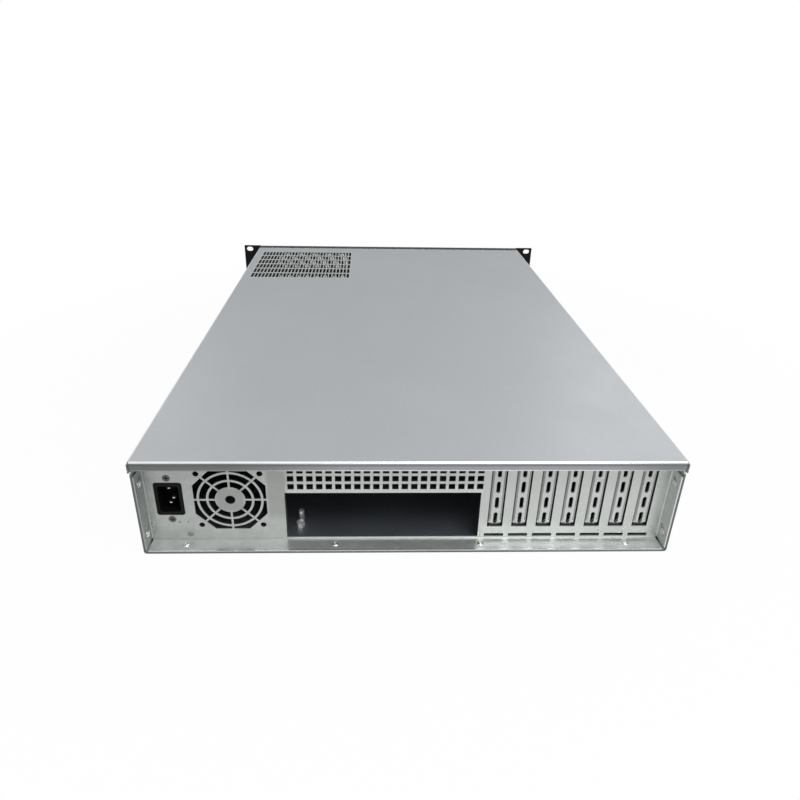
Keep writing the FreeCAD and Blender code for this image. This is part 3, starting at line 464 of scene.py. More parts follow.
@dataclass(frozen=True)
class SheetSteel:
    """Zinc-coated sheet: crystals, stains, rolling lines, dull patches, dust, painted light and
    shade.
    """

    name: str
    tone: Colour
    metallic: float
    roughness: float
    crystal: float = 5.0 * MM
    crystal_depth: float = 0.05
    crystal_relief: float = 0.6
    stain: float = 0.10
    rolling: float = 0.04
    along: Triple = (1.0, 1.0, 12.0)
    dull: float = 0.08
    highlights: tuple[Mark, ...] = ()
    bend_metallic: float = 0.95
    bend_polish: float = 0.5
    highlight_wear: Pair = (0.8, 1.0)
    shade_lines: tuple[Mark, ...] = ()
    spots_and_shade: tuple[Mark, ...] = ()
    line_shade: float = 0.7
    dust: Pair = (0.1, 0.8)
    dirt_roughness: float = 0.25
    shade_lattices: tuple[Lattice, ...] = ()
    zones: tuple[Zone, ...] = ()
    specular: float = 0.5
    grain_scale: float = 900.0
    grain_octaves: float = 3.0
    skin: float = 0.12

    def dirt_and_shade(self, g: Graph) -> Socket:
        """Give the share of painted shade along lines, and of speckled spots and shade round
        rivets.

        Args:
            g: The material's graph.

        Returns:
            The share.
        """
        shaded_line = g.strongest([mark.share(g) for mark in self.shade_lines])
        spot = g.strongest([mark.share(g) for mark in self.spots_and_shade])
        spot = g.maths("MULTIPLY", spot, DUST_SPECKS.spread(g, self.dust))
        return g.maths("MAXIMUM", g.maths("MULTIPLY", shaded_line, self.line_shade), spot)

    def build(self) -> bpy.types.Material:
        """Make the material from its own sizes.

        Returns:
            The material.
        """
        g = Graph(self.name)
        crystals = g.node("ShaderNodeTexVoronoi", {"Vector": g.place, "Scale": 1.0 / self.crystal})
        cell = g.node("ShaderNodeSeparateColor", {"Color": crystals.outputs["Color"]}).outputs[0]
        flake = g.remap(cell, (0.0, 1.0), about(1.0, self.crystal_depth))
        stains = STAINS.spread(g, about(1.0, self.stain))
        lines = ROLLING_LINES.spread(g, about(1.0, self.rolling), g.stretched(self.along))
        level = g.maths("MULTIPLY", g.maths("MULTIPLY", flake, stains), lines)
        tone = g.shaded(level, self.tone)
        rough = DULL_PATCHES.spread(g, about(self.roughness, self.dull))
        metallic: Socket | float = self.metallic
        # Painted shade along lines and round rivets, with speckled dark spots.
        if self.shade_lines or self.spots_and_shade:
            dirt_and_shade = self.dirt_and_shade(g)
            tone = g.mixed(dirt_and_shade, tone, GRIME_AND_SHADE)
            rough = g.maths("ADD", rough, g.maths("MULTIPLY", dirt_and_shade, self.dirt_roughness))
        # Painted highlights: a lighter tone, on a polish that is more metallic and smoother.
        if self.highlights:
            highlight = g.strongest([mark.share(g) for mark in self.highlights])
            highlight = g.maths("MULTIPLY", highlight, HIGHLIGHT_WEAR.spread(g, self.highlight_wear))
            tone = g.mixed(highlight, tone, HIGHLIGHT_ZINC)
            polish = g.maths("MULTIPLY", highlight, self.roughness * self.bend_polish)
            rough = g.maths("SUBTRACT", rough, polish)
            metallic = g.remap(highlight, (0.0, 1.0), (self.metallic, self.bend_metallic))
        # Painted light and shade in boxes.
        for zone in self.zones:
            tone = g.mixed(zone.share(g), tone, zone.tone)
        # Painted shade in rows of lines, laid over the rest.
        if self.shade_lattices:
            rim_shade = g.strongest([lattice.share(g) for lattice in self.shade_lattices])
            tone = g.mixed(rim_shade, tone, GRIME_AND_SHADE)
        relief = g.maths("MULTIPLY", flake, self.crystal_relief)
        height = g.maths("ADD", g.noise(self.grain_scale, self.grain_octaves), relief)
        return g.finish(Base_Color=tone, Metallic=metallic, Roughness=rough,
                        Specular_IOR_Level=self.specular,
                        Normal=g.bump(height, self.skin, SHEET_SKIN))


@dataclass(frozen=True)
class Coat:
    """Paint or powder coat over sheet, with a fine orange-peel skin and rubbed spots."""

    name: str
    tone: Colour
    worn: Colour
    roughness: float
    sheen: float = 0.06
    rubbed: float = 0.6
    peel_scale: float = 1400.0
    peel: float = 0.18
    specular: float = 0.5

    def build(self) -> bpy.types.Material:
        """Make the material from its own sizes.

        Returns:
            The material.
        """
        g = Graph(self.name)
        tone = g.mixed(RUBBED_SPOTS.spread(g, (0.0, self.rubbed)), self.tone, self.worn)
        peel = g.noise(self.peel_scale, SKIN_OCTAVES)
        return g.finish(Base_Color=tone,
                        Roughness=PAINT_SHEEN.spread(g, about(self.roughness, self.sheen)),
                        Specular_IOR_Level=self.specular,
                        Normal=g.bump(peel, self.peel, SHEET_SKIN))


@dataclass(frozen=True)
class Moulding:
    """Moulded plastic with a spark-eroded grain."""

    name: str
    tone: Colour
    roughness: float
    sheen: float = 0.05
    shade: float = 0.15
    grain_scale: float = 2200.0
    grain: float = 0.25
    clear: float = 0.0
    specular: float = 0.5

    def build(self) -> bpy.types.Material:
        """Make the material from its own sizes.

        Returns:
            The material.
        """
        g = Graph(self.name)
        tone = g.shaded(PLASTIC_SHADE.spread(g, about(1.0, self.shade)), self.tone)
        grain = g.noise(self.grain_scale, SKIN_OCTAVES)
        return g.finish(Base_Color=tone,
                        Roughness=PLASTIC_SHEEN.spread(g, about(self.roughness, self.sheen)),
                        Transmission_Weight=self.clear, Specular_IOR_Level=self.specular,
                        Normal=g.bump(grain, self.grain, MOULDED_SKIN))


@dataclass(frozen=True)
class Laminate:
    """A lacquered circuit board with a faint glass weave under its surface."""

    name: str
    tone: Colour
    roughness: Pair = (0.25, 0.4)
    weave_scale: float = 1200.0
    weave_shade: float = 0.1
    weave_relief: float = 0.05

    def build(self) -> bpy.types.Material:
        """Make the material from its own sizes.

        Returns:
            The material.
        """
        g = Graph(self.name)
        inputs = {"Vector": g.place, "Scale": self.weave_scale}
        weave = g.node("ShaderNodeTexChecker", inputs).outputs["Fac"]
        tone = g.shaded(g.remap(weave, (0.0, 1.0), about(1.0, self.weave_shade)), self.tone)
        return g.finish(Base_Color=tone, Roughness=LACQUER_SHEEN.spread(g, self.roughness),
                        Normal=g.bump(weave, self.weave_relief, MOULDED_SKIN))


class Finish(Enum):
    """Every finish on the case, by the record's slot or by its own name within one."""

    COVER = "cover_steel"
    SHEET = "galvanised_sheet"
    TRAY = "galvanised_sheet_inside"
    SLOT_COVER = "slot_cover_steel"
    FASTENER = "plated_fasteners"
    DARK_FASTENER = "dark_plated_fasteners"
    PIN = "plated_pins"
    STUD = "plated_studs"
    PAINT = "black_paint"
    PLASTIC = "black_plastic"
    BUTTON = "button_plastic"
    LENS = "lens_plastic"
    LAMINATE = "board_laminate"

    @property
    def slot(self) -> str:
        """Give the record's slot that the finish belongs to."""
        shared = {Finish.TRAY: Finish.SHEET, Finish.DARK_FASTENER: Finish.FASTENER,
                  Finish.PIN: Finish.FASTENER, Finish.STUD: Finish.FASTENER}
        return shared.get(self, self).value


# A pitch longer than the case, for a row of one stripe.
ONE_STRIPE = 1.0


def slot_shade_line(offset: float, half: float, low: float, high: float, strength: float) -> Lattice:
    """Give a line of painted shade at each slot: its offset in X, its half width, its two heights,
    its strength.
    """
    middle = SLOT_FIRST_X - (SLOT_COUNT - 1) / 2 * SLOT_PITCH
    heights = Row((low + high) / 2, ONE_STRIPE, 1, (high - low) / 2)
    return Lattice(Row(middle + offset, SLOT_PITCH, SLOT_COUNT, half), heights, 2, strength)


# Painted shade round each vent in the cover, so that the holes look larger and darker.
VENT_RIM_SHADE = Lattice(Row(0.1321, 0.00504, 28, 0.0020), Row(0.1082, 0.02346, 6, 0.0101), 1, 0.95)

# Painted highlights, on a polish: the fold over the rear lip, the side folds, the front edge and
# the lip's lower edge.
COVER_HIGHLIGHTS = (
    Mark((0.0, 0.6494, 0.0433), LINE_ALONG_X, 0.0015),
    Mark((0.2144, 0.0, 0.0431), LINE_ALONG_Y, 0.0014),
    Mark((0.0, 0.0123, 0.0437), LINE_ALONG_X, 0.0022),
    Mark((0.0, 0.65, 0.0362), LINE_ALONG_X, 0.0010),
)
# Painted shade on the vents' cut walls, painted light on the webs between the vents, and painted
# shade on the lip's left and right end from behind.
COVER_LIGHT_AND_SHADE = (
    Zone((0.05, 0.03, 0.03), (0.21, 0.19, 0.0435), (0.03, 0.032, 0.034)),
    Zone((0.061, 0.037, 0.0436), (0.203, 0.180, 0.05), (0.60, 0.625, 0.63), 0.7),
    Zone((0.140, 0.6496, 0.03), (0.3, 0.66, 0.0425), (0.17, 0.182, 0.176), 0.75,
         (0.09, 0.0004, 0.0004)),
    Zone((-0.3, 0.6496, 0.03), (-0.200, 0.66, 0.0425), (0.20, 0.212, 0.206), 0.6,
         (0.05, 0.0004, 0.0004)),
)
# Painted shade on the line under the rear fold, and in the upright corners where the lip meets the
# side flanges.
COVER_FOLD_SHADE = (
    Mark((0.0, 0.6502, 0.0411), LINE_ALONG_X, 0.0013),
    Mark((0.2150, 0.65, 0.0), LINE_ALONG_Z, 0.0014),
)
# From behind: painted shade on the panel's cut walls and the left side flange, painted light on
# the face from the board opening to the right end and on the strip above that opening, and painted
# shade on the guard's hub and the strip right of the guard.
SHEET_LIGHT_AND_SHADE = (
    Zone((-0.2112, 0.60, -0.0412), (0.2112, 0.6347, 0.05), (0.05, 0.052, 0.055), 0.75),
    Zone((0.2106, 0.6345, -0.0412), (0.3, 0.66, 0.05), (0.22, 0.235, 0.225), 0.6),
    Zone((-0.2112, 0.6349, -0.05), (0.090, 0.6352, 0.05), (0.76, 0.79, 0.765), 0.7,
         (0.01, 0.0002, 0.0002)),
    Zone((-0.060, 0.6349, 0.0045), (0.100, 0.6352, 0.0115), (0.86, 0.88, 0.86), 0.6),
    Zone((0.1345, 0.6349, -0.0112), (0.1535, 0.6352, 0.0078), (0.42, 0.435, 0.415), 0.8,
         (0.003, 0.0002, 0.003)),
    Zone((0.1005, 0.6349, -0.0150), (0.1125, 0.6352, 0.0400), (0.42, 0.435, 0.415), 0.7,
         (0.003, 0.0002, 0.008)),
)
# Painted highlights, on a polish, along the rear edges of the floor flange and of the side
# flanges.
SHEET_HIGHLIGHTS = (
    Mark((0.0, 0.6495, -0.0415), LINE_ALONG_X, 0.0012),
    Mark((0.2115, 0.6495, 0.0), LINE_ALONG_Z, 0.0010),
)
# Painted shade along the crease where the panel folds into its floor flange.
SHEET_CREASE_SHADE = (Mark((0.0, 0.6350, -0.0413), LINE_ALONG_X, 0.0013),)
# Painted shade under the slots that take the covers' tabs, and along the windows' lower edges.
SHEET_SHADE_LINES = (
    slot_shade_line(0.0, 0.0080, -0.0395, -0.0384, 0.95),
    slot_shade_line(0.0, 0.0064, -0.0294, -0.0286, 0.9),
)
# Speckled dark spots on the panel under the inlet, and painted shade round the rivets of both side
# flanges.
SHEET_SPOTS_AND_RIVET_SHADE = (
    Mark((0.1793, 0.635, -0.036), SPOT, 0.0034, False),
    Mark((0.1867, 0.635, -0.0238), SPOT, 0.0014, False),
    Mark((0.1798, 0.635, -0.0236), SPOT, 0.0012, False),
    Mark((0.2113, 0.6395, -0.0262), SPOT, 0.0036),
    Mark((0.2113, 0.6421, -0.0300), SPOT, 0.0040),
    Mark((0.2113, 0.6421, 0.0185), SPOT, 0.0042),
    Mark((0.2113, 0.6395, 0.0225), SPOT, 0.0030),
)
# Painted shade over the tray's faces inside the case: a darker, bluer tone.
TRAY_INSIDE_SHADE = (
    Zone((-0.2126, -0.1, -0.0426), (0.2126, 0.640, 0.0432), (0.24, 0.262, 0.30)),
)
# Painted shade along the joints between the panel's flanges and the tray's floor and walls.
TRAY_JOINT_SHADE = (
    Mark((0.0, 0.6502, -0.0431), LINE_ALONG_X, 0.0014),
    Mark((0.2131, 0.6502, 0.0), LINE_ALONG_Z, 0.0014),
)
# Painted shade, from behind: two lines along the rib's right edge, one along its left, and the
# blade's low end.
SLOT_COVER_SHADE_LINES = (
    slot_shade_line(-0.00445, 0.0003, -0.0240, 0.0340, 0.75),
    slot_shade_line(-0.00565, 0.0004, -0.0280, 0.0340, 0.95),
    slot_shade_line(0.00500, 0.0005, -0.0250, 0.0340, 0.7),
    slot_shade_line(0.0, 0.0060, -0.0275, -0.0264, 0.9),
)
# Painted highlights at the pins' tips.
PAINTED_PIN_GLINTS = tuple(Mark(tip, SPOT, 0.0016, False) for tip in PIN_TIPS)

FINISHES = {
    Finish.COVER: SheetSteel(
        "cover_satin_zinc", (0.44, 0.462, 0.478), metallic=0.3, roughness=0.42,
        crystal=2.5 * MM, crystal_depth=0.012, stain=0.02, rolling=0.012,
        along=(14.0, 1.0, 1.0), dull=0.03, specular=0.1, line_shade=0.45, highlights=COVER_HIGHLIGHTS,
        zones=COVER_LIGHT_AND_SHADE, shade_lattices=(VENT_RIM_SHADE,), shade_lines=COVER_FOLD_SHADE),
    Finish.SHEET: SheetSteel(
        "galvanised_sheet", (0.60, 0.625, 0.605), metallic=0.6, roughness=0.32, skin=0.08,
        zones=SHEET_LIGHT_AND_SHADE, highlights=SHEET_HIGHLIGHTS, shade_lines=SHEET_CREASE_SHADE, line_shade=0.5,
        shade_lattices=SHEET_SHADE_LINES, spots_and_shade=SHEET_SPOTS_AND_RIVET_SHADE),
    # A darker copy of the galvanised sheet: painted shade on the tray and the pieces inside.
    Finish.TRAY: SheetSteel(
        "galvanised_tray_sheet_shaded", (0.40, 0.415, 0.44), metallic=0.8, roughness=0.42,
        crystal_depth=0.04, zones=TRAY_INSIDE_SHADE, shade_lines=TRAY_JOINT_SHADE),
    Finish.SLOT_COVER: SheetSteel(
        "slot_cover_zinc", (0.74, 0.76, 0.745), metallic=0.5, roughness=0.38,
        crystal=3.0 * MM, crystal_depth=0.03, stain=0.06, shade_lattices=SLOT_COVER_SHADE_LINES),
    Finish.FASTENER: SheetSteel(
        "zinc_plated_steel", (0.74, 0.74, 0.72), metallic=0.9, roughness=0.24,
        crystal=0.8 * MM, crystal_depth=0.05, stain=0.1, rolling=0.05),
    Finish.DARK_FASTENER: SheetSteel(
        "dark_zinc_plating", (0.16, 0.165, 0.165), metallic=0.85, roughness=0.32,
        crystal=0.8 * MM, crystal_depth=0.06, stain=0.15, rolling=0.05),
    # A lighter, less metallic copy of the plating: painted highlights on the studs.
    Finish.STUD: SheetSteel(
        "stud_plating_highlighted", (0.95, 0.95, 0.93), metallic=0.5, roughness=0.2,
        crystal=0.8 * MM, stain=0.05),
    # Near black: painted shade on the pins' bodies, under painted highlights at their tips.
    Finish.PIN: SheetSteel(
        "nickel_plated_pins_shaded", (0.03, 0.03, 0.03), metallic=0.5, roughness=0.35,
        crystal=0.8 * MM, specular=0.2, highlights=PAINTED_PIN_GLINTS),
    Finish.PAINT: Coat("black_powder_coat", (0.007, 0.007, 0.0085), (0.02, 0.02, 0.022),
                       roughness=0.5, specular=0.15),
    Finish.PLASTIC: Moulding("black_moulded_plastic", (0.006, 0.006, 0.007), roughness=0.45,
                             specular=0.14),
    Finish.BUTTON: Moulding("button_plastic", (0.03, 0.03, 0.034), roughness=0.28, grain=0.08),
    Finish.LENS: Moulding("lens_plastic", (0.7, 0.78, 0.68), roughness=0.15, grain=0.02,
                          clear=0.5),
    Finish.LAMINATE: Laminate("green_board_laminate", (0.02, 0.12, 0.045)),
}


@dataclass
class Wardrobe:
    """Makes each finish once and puts it on pieces and CAD nodes."""

    made: dict[Finish, bpy.types.Material] = field(default_factory=dict)

    def material(self, finish: Finish) -> bpy.types.Material:
        """Give a finish's material, made on first use.

        Args:
            finish: The finish.

        Returns:
            Its material.
        """
        if finish not in self.made:
            self.made[finish] = FINISHES[finish].build()
        return self.made[finish]

    def dress(self, thing: bpy.types.Object, finish: Finish) -> None:
        """Put one finish on every material slot of a piece.

        Args:
            thing: The piece or node.
            finish: The finish that it wears.
        """
        if not thing.material_slots:
            thing.data.materials.append(None)
        for slot in thing.material_slots:
            slot.material = self.material(finish)

    def dress_nodes(self, finish: Finish, *names: str) -> None:
        """Put one finish on several CAD nodes.

        Args:
            finish: The finish that they wear.
            names: The nodes' names.
        """
        for name in names:
            self.dress(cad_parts[name], finish)
            log.info("node %s wears %s", name, finish.value)

    def add(self, piece: bpy.types.Object, finish: Finish, node: str) -> None:
        """Dress a new piece, let it ride on the case and stand for the node that it replaces.

        Args:
            piece: The new piece.
            finish: The finish that it wears.
            node: The node's name.
        """
        self.dress(piece, finish)
        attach(piece, "case")
        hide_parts(node)
        log.info("piece %s stands for %s", piece.name, node)


class Head(Enum):
    """The kinds of fastener head on the case."""

    PAN = "pan"
    FLAT = "flat"
    RIVET = "rivet"


@dataclass(frozen=True)
class Gauge:
    """A fastener's sizes: its head's radius and height, and its shank's radius and length."""

    radius: float
    height: float
    shank_radius: float
    shank_length: float


RIVET_GAUGE = Gauge(2.8 * MM, 1.2 * MM, 1.6 * MM, 2.3 * MM)
PAN_GAUGE = Gauge(2.8 * MM, 1.8 * MM, 1.5 * MM, 3.3 * MM)


def flat_gauge(length: float) -> Gauge:
    """Give the sizes of a countersunk screw of a length, whose head lies flush."""
    return Gauge(3.1 * MM, 0.0, 1.5 * MM, length)


@dataclass
class Fasteners:
    """One group of like fasteners, each a head on a shank.

    A head's face is a height over the share s of its radius and the angle. A pan head falls with
    the fourth power of s, and a flat head has no height, so it is level. Both have a cross recess
    with a round pit at its middle. A rivet's head is part of an ellipsoid, less the groove round
    its broken pin. The pairs say where each blend starts and ends, in shares of the radius.
    """

    name: str
    head: Head
    gauge: Gauge
    places: list[Triple]
    directions: list[Triple]
    rings: int = 22
    steps: int = 48
    last_ring: float = 0.97
    closed_end: float = 0.01
    pan_fall: float = 0.35
    arm_side: Pair = (0.084, 0.144)
    arm_end: Pair = (0.51, 0.60)
    pit: Pair = (0.22, 0.34)
    recess_depth: float = 0.42
    rivet_fall: float = 0.92
    groove_start: Pair = (0.30, 0.38)
    groove_end: Pair = (0.48, 0.56)
    groove_depth: float = 0.8

    def profile(self, share: Array, angle: Array) -> Array:
        """Give a head's height.

        Args:
            share: Shares of its radius.
            angle: Angles about its middle.

        Returns:
            The height at each share and angle.
        """
        height = self.gauge.height
        if self.head is Head.RIVET:
            dome = height * np.sqrt(np.clip(1.0 - self.rivet_fall * share ** 2, 0.0, 1.0))
            groove = smooth(share, *self.groove_start) * (1.0 - smooth(share, *self.groove_end))
            return dome - height * self.groove_depth * groove
        aside = share * np.minimum(np.abs(np.cos(angle)), np.abs(np.sin(angle)))
        cross = (1.0 - smooth(aside, *self.arm_side)) * (1.0 - smooth(share, *self.arm_end))
        recess = np.maximum(cross, 1.0 - smooth(share, *self.pit))
        top = height * (1.0 - self.pan_fall * share ** 4)
        return top - self.gauge.radius * self.recess_depth * recess

    def one(self) -> tuple[Array, Array]:
        """Make one fastener along +Z, with its seat at zero.

        From the rim of its face the surface goes down to the sheet, then in to the shank, level
        or down a cone, and along the shank to its closed end.

        Returns:
            Its points and faces.
        """
        radius, narrow = self.gauge.radius, self.gauge.shank_radius / self.gauge.radius
        share = np.concatenate([np.linspace(0.0, self.last_ring, self.rings), [1.0]])
        angle = np.linspace(0.0, 2 * math.pi, self.steps, endpoint=False)
        s, a = np.meshgrid(share, angle, indexing="ij")
        face = np.stack([s * radius * np.cos(a), s * radius * np.sin(a), self.profile(s, a)],
                        axis=-1)
        rim = face[-1].copy()
        rim[:, 2] = np.minimum(rim[:, 2], 0.0)
        foot = rim * np.array([narrow, narrow, 1.0])
        foot[:, 2] = self.gauge.shank_radius - radius if self.head is Head.FLAT else 0.0
        end = foot.copy()
        end[:, 2] = -self.gauge.shank_length
        tip = end * np.array([self.closed_end, self.closed_end, 1.0])
        points = np.concatenate([face.reshape(-1, 3), rim, foot, end, tip])
        return points, tube_faces(len(share) + 4, self.steps)

    def build(self) -> bpy.types.Object:
        """Copy the fastener to each of its places.

        Returns:
            One object that holds all the copies.
        """
        points, faces = self.one()
        parts = [(points @ towards(way).T + np.array(place), faces)
                 for place, way in zip(self.places, self.directions)]
        return make_piece(self.name, parts)


@dataclass
class RearPanel:
    """The pan at the back, with its rivets and the inlet's screws and pins."""

    rivet_y: float = 642.1 * MM
    floor_face: float = -41.3 * MM
    side_face: float = 211.3 * MM
    floor_rivet_x: Pair = (60.0 * MM, 181.8 * MM)
    side_rivet_z: Pair = (18.5 * MM, -30.0 * MM)
    inlet_x: float = 192.4 * MM
    inlet_z: float = -0.8 * MM
    inlet_screw_step: float = 20.0 * MM
    inlet_screw_length: float = 6.0 * MM
    pin_width: float = 4.0 * MM
    pin_thickness: float = 2.0 * MM
    pin_root: float = 0.05
    pin_ends: tuple[Pair, ...] = ((1.6 * MM, 1.0), (0.3 * MM, 0.62), (0.0, 0.45), (0.0, 0.02))
    pin_sharp_angle: float = 20.0

    def build(self, wardrobe: Wardrobe) -> None:
        """Make the rivets, screws and pins, and dress the panel.

        Args:
            wardrobe: Where the finishes come from.
        """
        wardrobe.dress_nodes(Finish.SHEET, "rear_panel", "opening_angle")
        places, ways = [], []
        for side in (-1, 1):
            for x in self.floor_rivet_x:
                places.append((side * x, self.rivet_y, self.floor_face))
                ways.append((0.0, 0.0, 1.0))
            for z in self.side_rivet_z:
                places.append((side * self.side_face, self.rivet_y, z))
                ways.append((-float(side), 0.0, 0.0))
        rivets = Fasteners("rear_rivets", Head.RIVET, RIVET_GAUGE, places, ways)
        wardrobe.add(rivets.build(), Finish.FASTENER, "panel_rivets")
        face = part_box("inlet_screws")[1].y
        places = [(self.inlet_x, face, self.inlet_z + side * self.inlet_screw_step)
                  for side in (-1, 1)]
        screws = Fasteners("inlet_flat_screws", Head.FLAT, flat_gauge(self.inlet_screw_length),
                           places, [(0.0, 1.0, 0.0)] * 2)
        wardrobe.add(screws.build(), Finish.DARK_FASTENER, "inlet_screws")
        wardrobe.add(self.pins(), Finish.PIN, "inlet_pins")
        wardrobe.dress_nodes(Finish.FASTENER, "inlet_nuts")
        wardrobe.dress_nodes(Finish.PLASTIC, "inlet_body")

    def pins(self) -> bpy.types.Object:
        """Make the inlet's three flat pins.

        Each is a rectangle carried along Y and closed at its root, whose sides draw in towards
        its tip: pin_ends gives distances before the tip and the share of the width kept there.

        Returns:
            One object that holds the three.
        """
        ring = np.array([[-1, -1], [1, -1], [1, 1], [-1, 1]], dtype=float)
        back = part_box("inlet_pins")[0].y
        parts = []
        for x, tip, z in PIN_TIPS:
            stations = [(back, self.pin_root), (back, 1.0)]
            stations += [(tip - before, share) for before, share in self.pin_ends]
            rows = [np.stack([x + ring[:, 0] * self.pin_width / 2 * share, np.full(len(ring), y),
                              z + ring[:, 1] * self.pin_thickness / 2 * share], axis=-1)
                    for y, share in stations]
            parts.append((np.concatenate(rows), tube_faces(len(rows), len(ring))[:, ::-1]))
        return make_piece("inlet_flat_pins", parts, self.pin_sharp_angle)


@dataclass
class SlotCovers:
    """The seven slot covers and the screws on their feet."""

    first_x: float = SLOT_FIRST_X
    pitch: float = SLOT_PITCH
    count: int = SLOT_COUNT

    def build(self, wardrobe: Wardrobe) -> None:
        """Dress the covers and make their screws.

        Args:
            wardrobe: Where the finishes come from.
        """
        names = [f"slot_cover_{i + 1}" for i in range(self.count)]
        wardrobe.dress_nodes(Finish.SLOT_COVER, *names)
        low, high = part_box("slot_cover_screws")
        y = (low.y + high.y) / 2
        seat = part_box(names[0])[1].z
        places = [(self.first_x - i * self.pitch, y, seat) for i in range(self.count)]
        screws = Fasteners("slot_cover_pan_screws", Head.PAN, PAN_GAUGE, places,
                           [(0.0, 0.0, 1.0)] * self.count)
        wardrobe.add(screws.build(), Finish.FASTENER, "slot_cover_screws")


@dataclass
class Cover:
    """The sliding cover and the flat screws in its side flanges."""

    screw_y: Triple = (42.0 * MM, 331.15 * MM, 604.0 * MM)
    screw_z: float = 38.3 * MM
    screw_length: float = 3.5 * MM

    def build(self, wardrobe: Wardrobe) -> None:
        """Dress the cover and make its screws.

        Args:
            wardrobe: Where the finishes come from.
        """
        wardrobe.dress_nodes(Finish.COVER, "top_cover")
        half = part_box("top_cover")[1].x
        places = [(side * half, y, self.screw_z) for side in (-1, 1) for y in self.screw_y]
        ways = [(float(side), 0.0, 0.0) for side in (-1, 1) for _ in self.screw_y]
        screws = Fasteners("cover_flat_screws", Head.FLAT, flat_gauge(self.screw_length),
                           places, ways)
        wardrobe.add(screws.build(), Finish.FASTENER, "cover_screws")


@dataclass
class Body:
    """The tray and everything that stands on its floor."""

    def build(self, wardrobe: Wardrobe) -> None:
        """Dress the tray and its inner pieces.

        Args:
            wardrobe: Where the finishes come from.
        """
        wardrobe.dress_nodes(Finish.TRAY, "chassis_tray", "drive_cage_left", "drive_cage_right",
                             "power_supply_bracket", "fan_wall")
        wardrobe.dress_nodes(Finish.STUD, "floor_studs")
        wardrobe.dress_nodes(Finish.FASTENER, "floor_screws")


@dataclass
class Front:
    """The black front panel with its handles and controls."""

    screw_x: float = 208.2 * MM
    screw_z: float = 26.0 * MM
    screw_length: float = 5.6 * MM
    control_x: float = -187.0 * MM
    control_offset: float = 11.5 * MM
    control_z: Pair = (13.0 * MM, 0.5 * MM)
    control_screw_length: float = 15.6 * MM

    def build(self, wardrobe: Wardrobe) -> None:
        """Dress the panel, its handles and controls, and make its screws.

        Args:
            wardrobe: Where the finishes come from.
        """
        wardrobe.dress_nodes(Finish.PAINT, "front_panel", "handle_left", "handle_right")
        wardrobe.dress_nodes(Finish.PLASTIC, "control_holder")
        wardrobe.dress_nodes(Finish.BUTTON, "power_button", "reset_button")
        wardrobe.dress_nodes(Finish.LENS, "indicator_lenses")
        wardrobe.dress_nodes(Finish.LAMINATE, "control_board")
        wardrobe.dress_nodes(Finish.FASTENER, "usb_socket_upper", "usb_socket_lower",
                             "control_nuts", "handle_screws")
        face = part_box("front_panel")[0].y
        places = [(side * self.screw_x, face, level * self.screw_z)
                  for side in (-1, 1) for level in (-1, 1)]
        screws = Fasteners("panel_flat_screws", Head.FLAT, flat_gauge(self.screw_length),
                           places, [(0.0, -1.0, 0.0)] * 4)
        wardrobe.add(screws.build(), Finish.FASTENER, "panel_screws")
        places = [(self.control_x + side * self.control_offset, face, z)
                  for side, z in zip((-1, 1), self.control_z)]
        screws = Fasteners("control_flat_screws", Head.FLAT,
                           flat_gauge(self.control_screw_length), places,
                           [(0.0, -1.0, 0.0)] * 2)
        wardrobe.add(screws.build(), Finish.FASTENER, "control_screws")


@dataclass(frozen=True)
class Lamp:
    """A soft square lamp that looks at a point."""

    name: str
    place: Triple
    aim: Triple
    side: float
    watts: float

    def hang(self) -> None:
        """Put the lamp in its place and turn it to its point."""
        data = bpy.data.lights.new(self.name, "AREA")
        data.shape = "RECTANGLE"
        data.size = data.size_y = self.side
        data.energy = self.watts
        lamp = bpy.data.objects.new(self.name, data)
        lamp.location = self.place
        view = Vector(self.aim) - Vector(self.place)
        lamp.rotation_euler = view.to_track_quat("-Z", "Y").to_euler()
        bpy.context.scene.collection.objects.link(lamp)


LAMPS = (
    Lamp("overhead_softbox", (-0.40, 0.95, 1.20), (-0.10, 0.60, 0.0), 0.9, 9.5),
    Lamp("rear_fill", (-0.30, 1.25, 1.00), (-0.10, 0.64, 0.0), 0.5, 4.0),
    Lamp("back_left", (0.75, -0.55, 0.75), (0.15, 0.55, 0.0), 0.5, 1.1),
    Lamp("back_right", (-0.75, -0.55, 0.75), (-0.15, 0.55, 0.0), 0.5, 1.4),
)


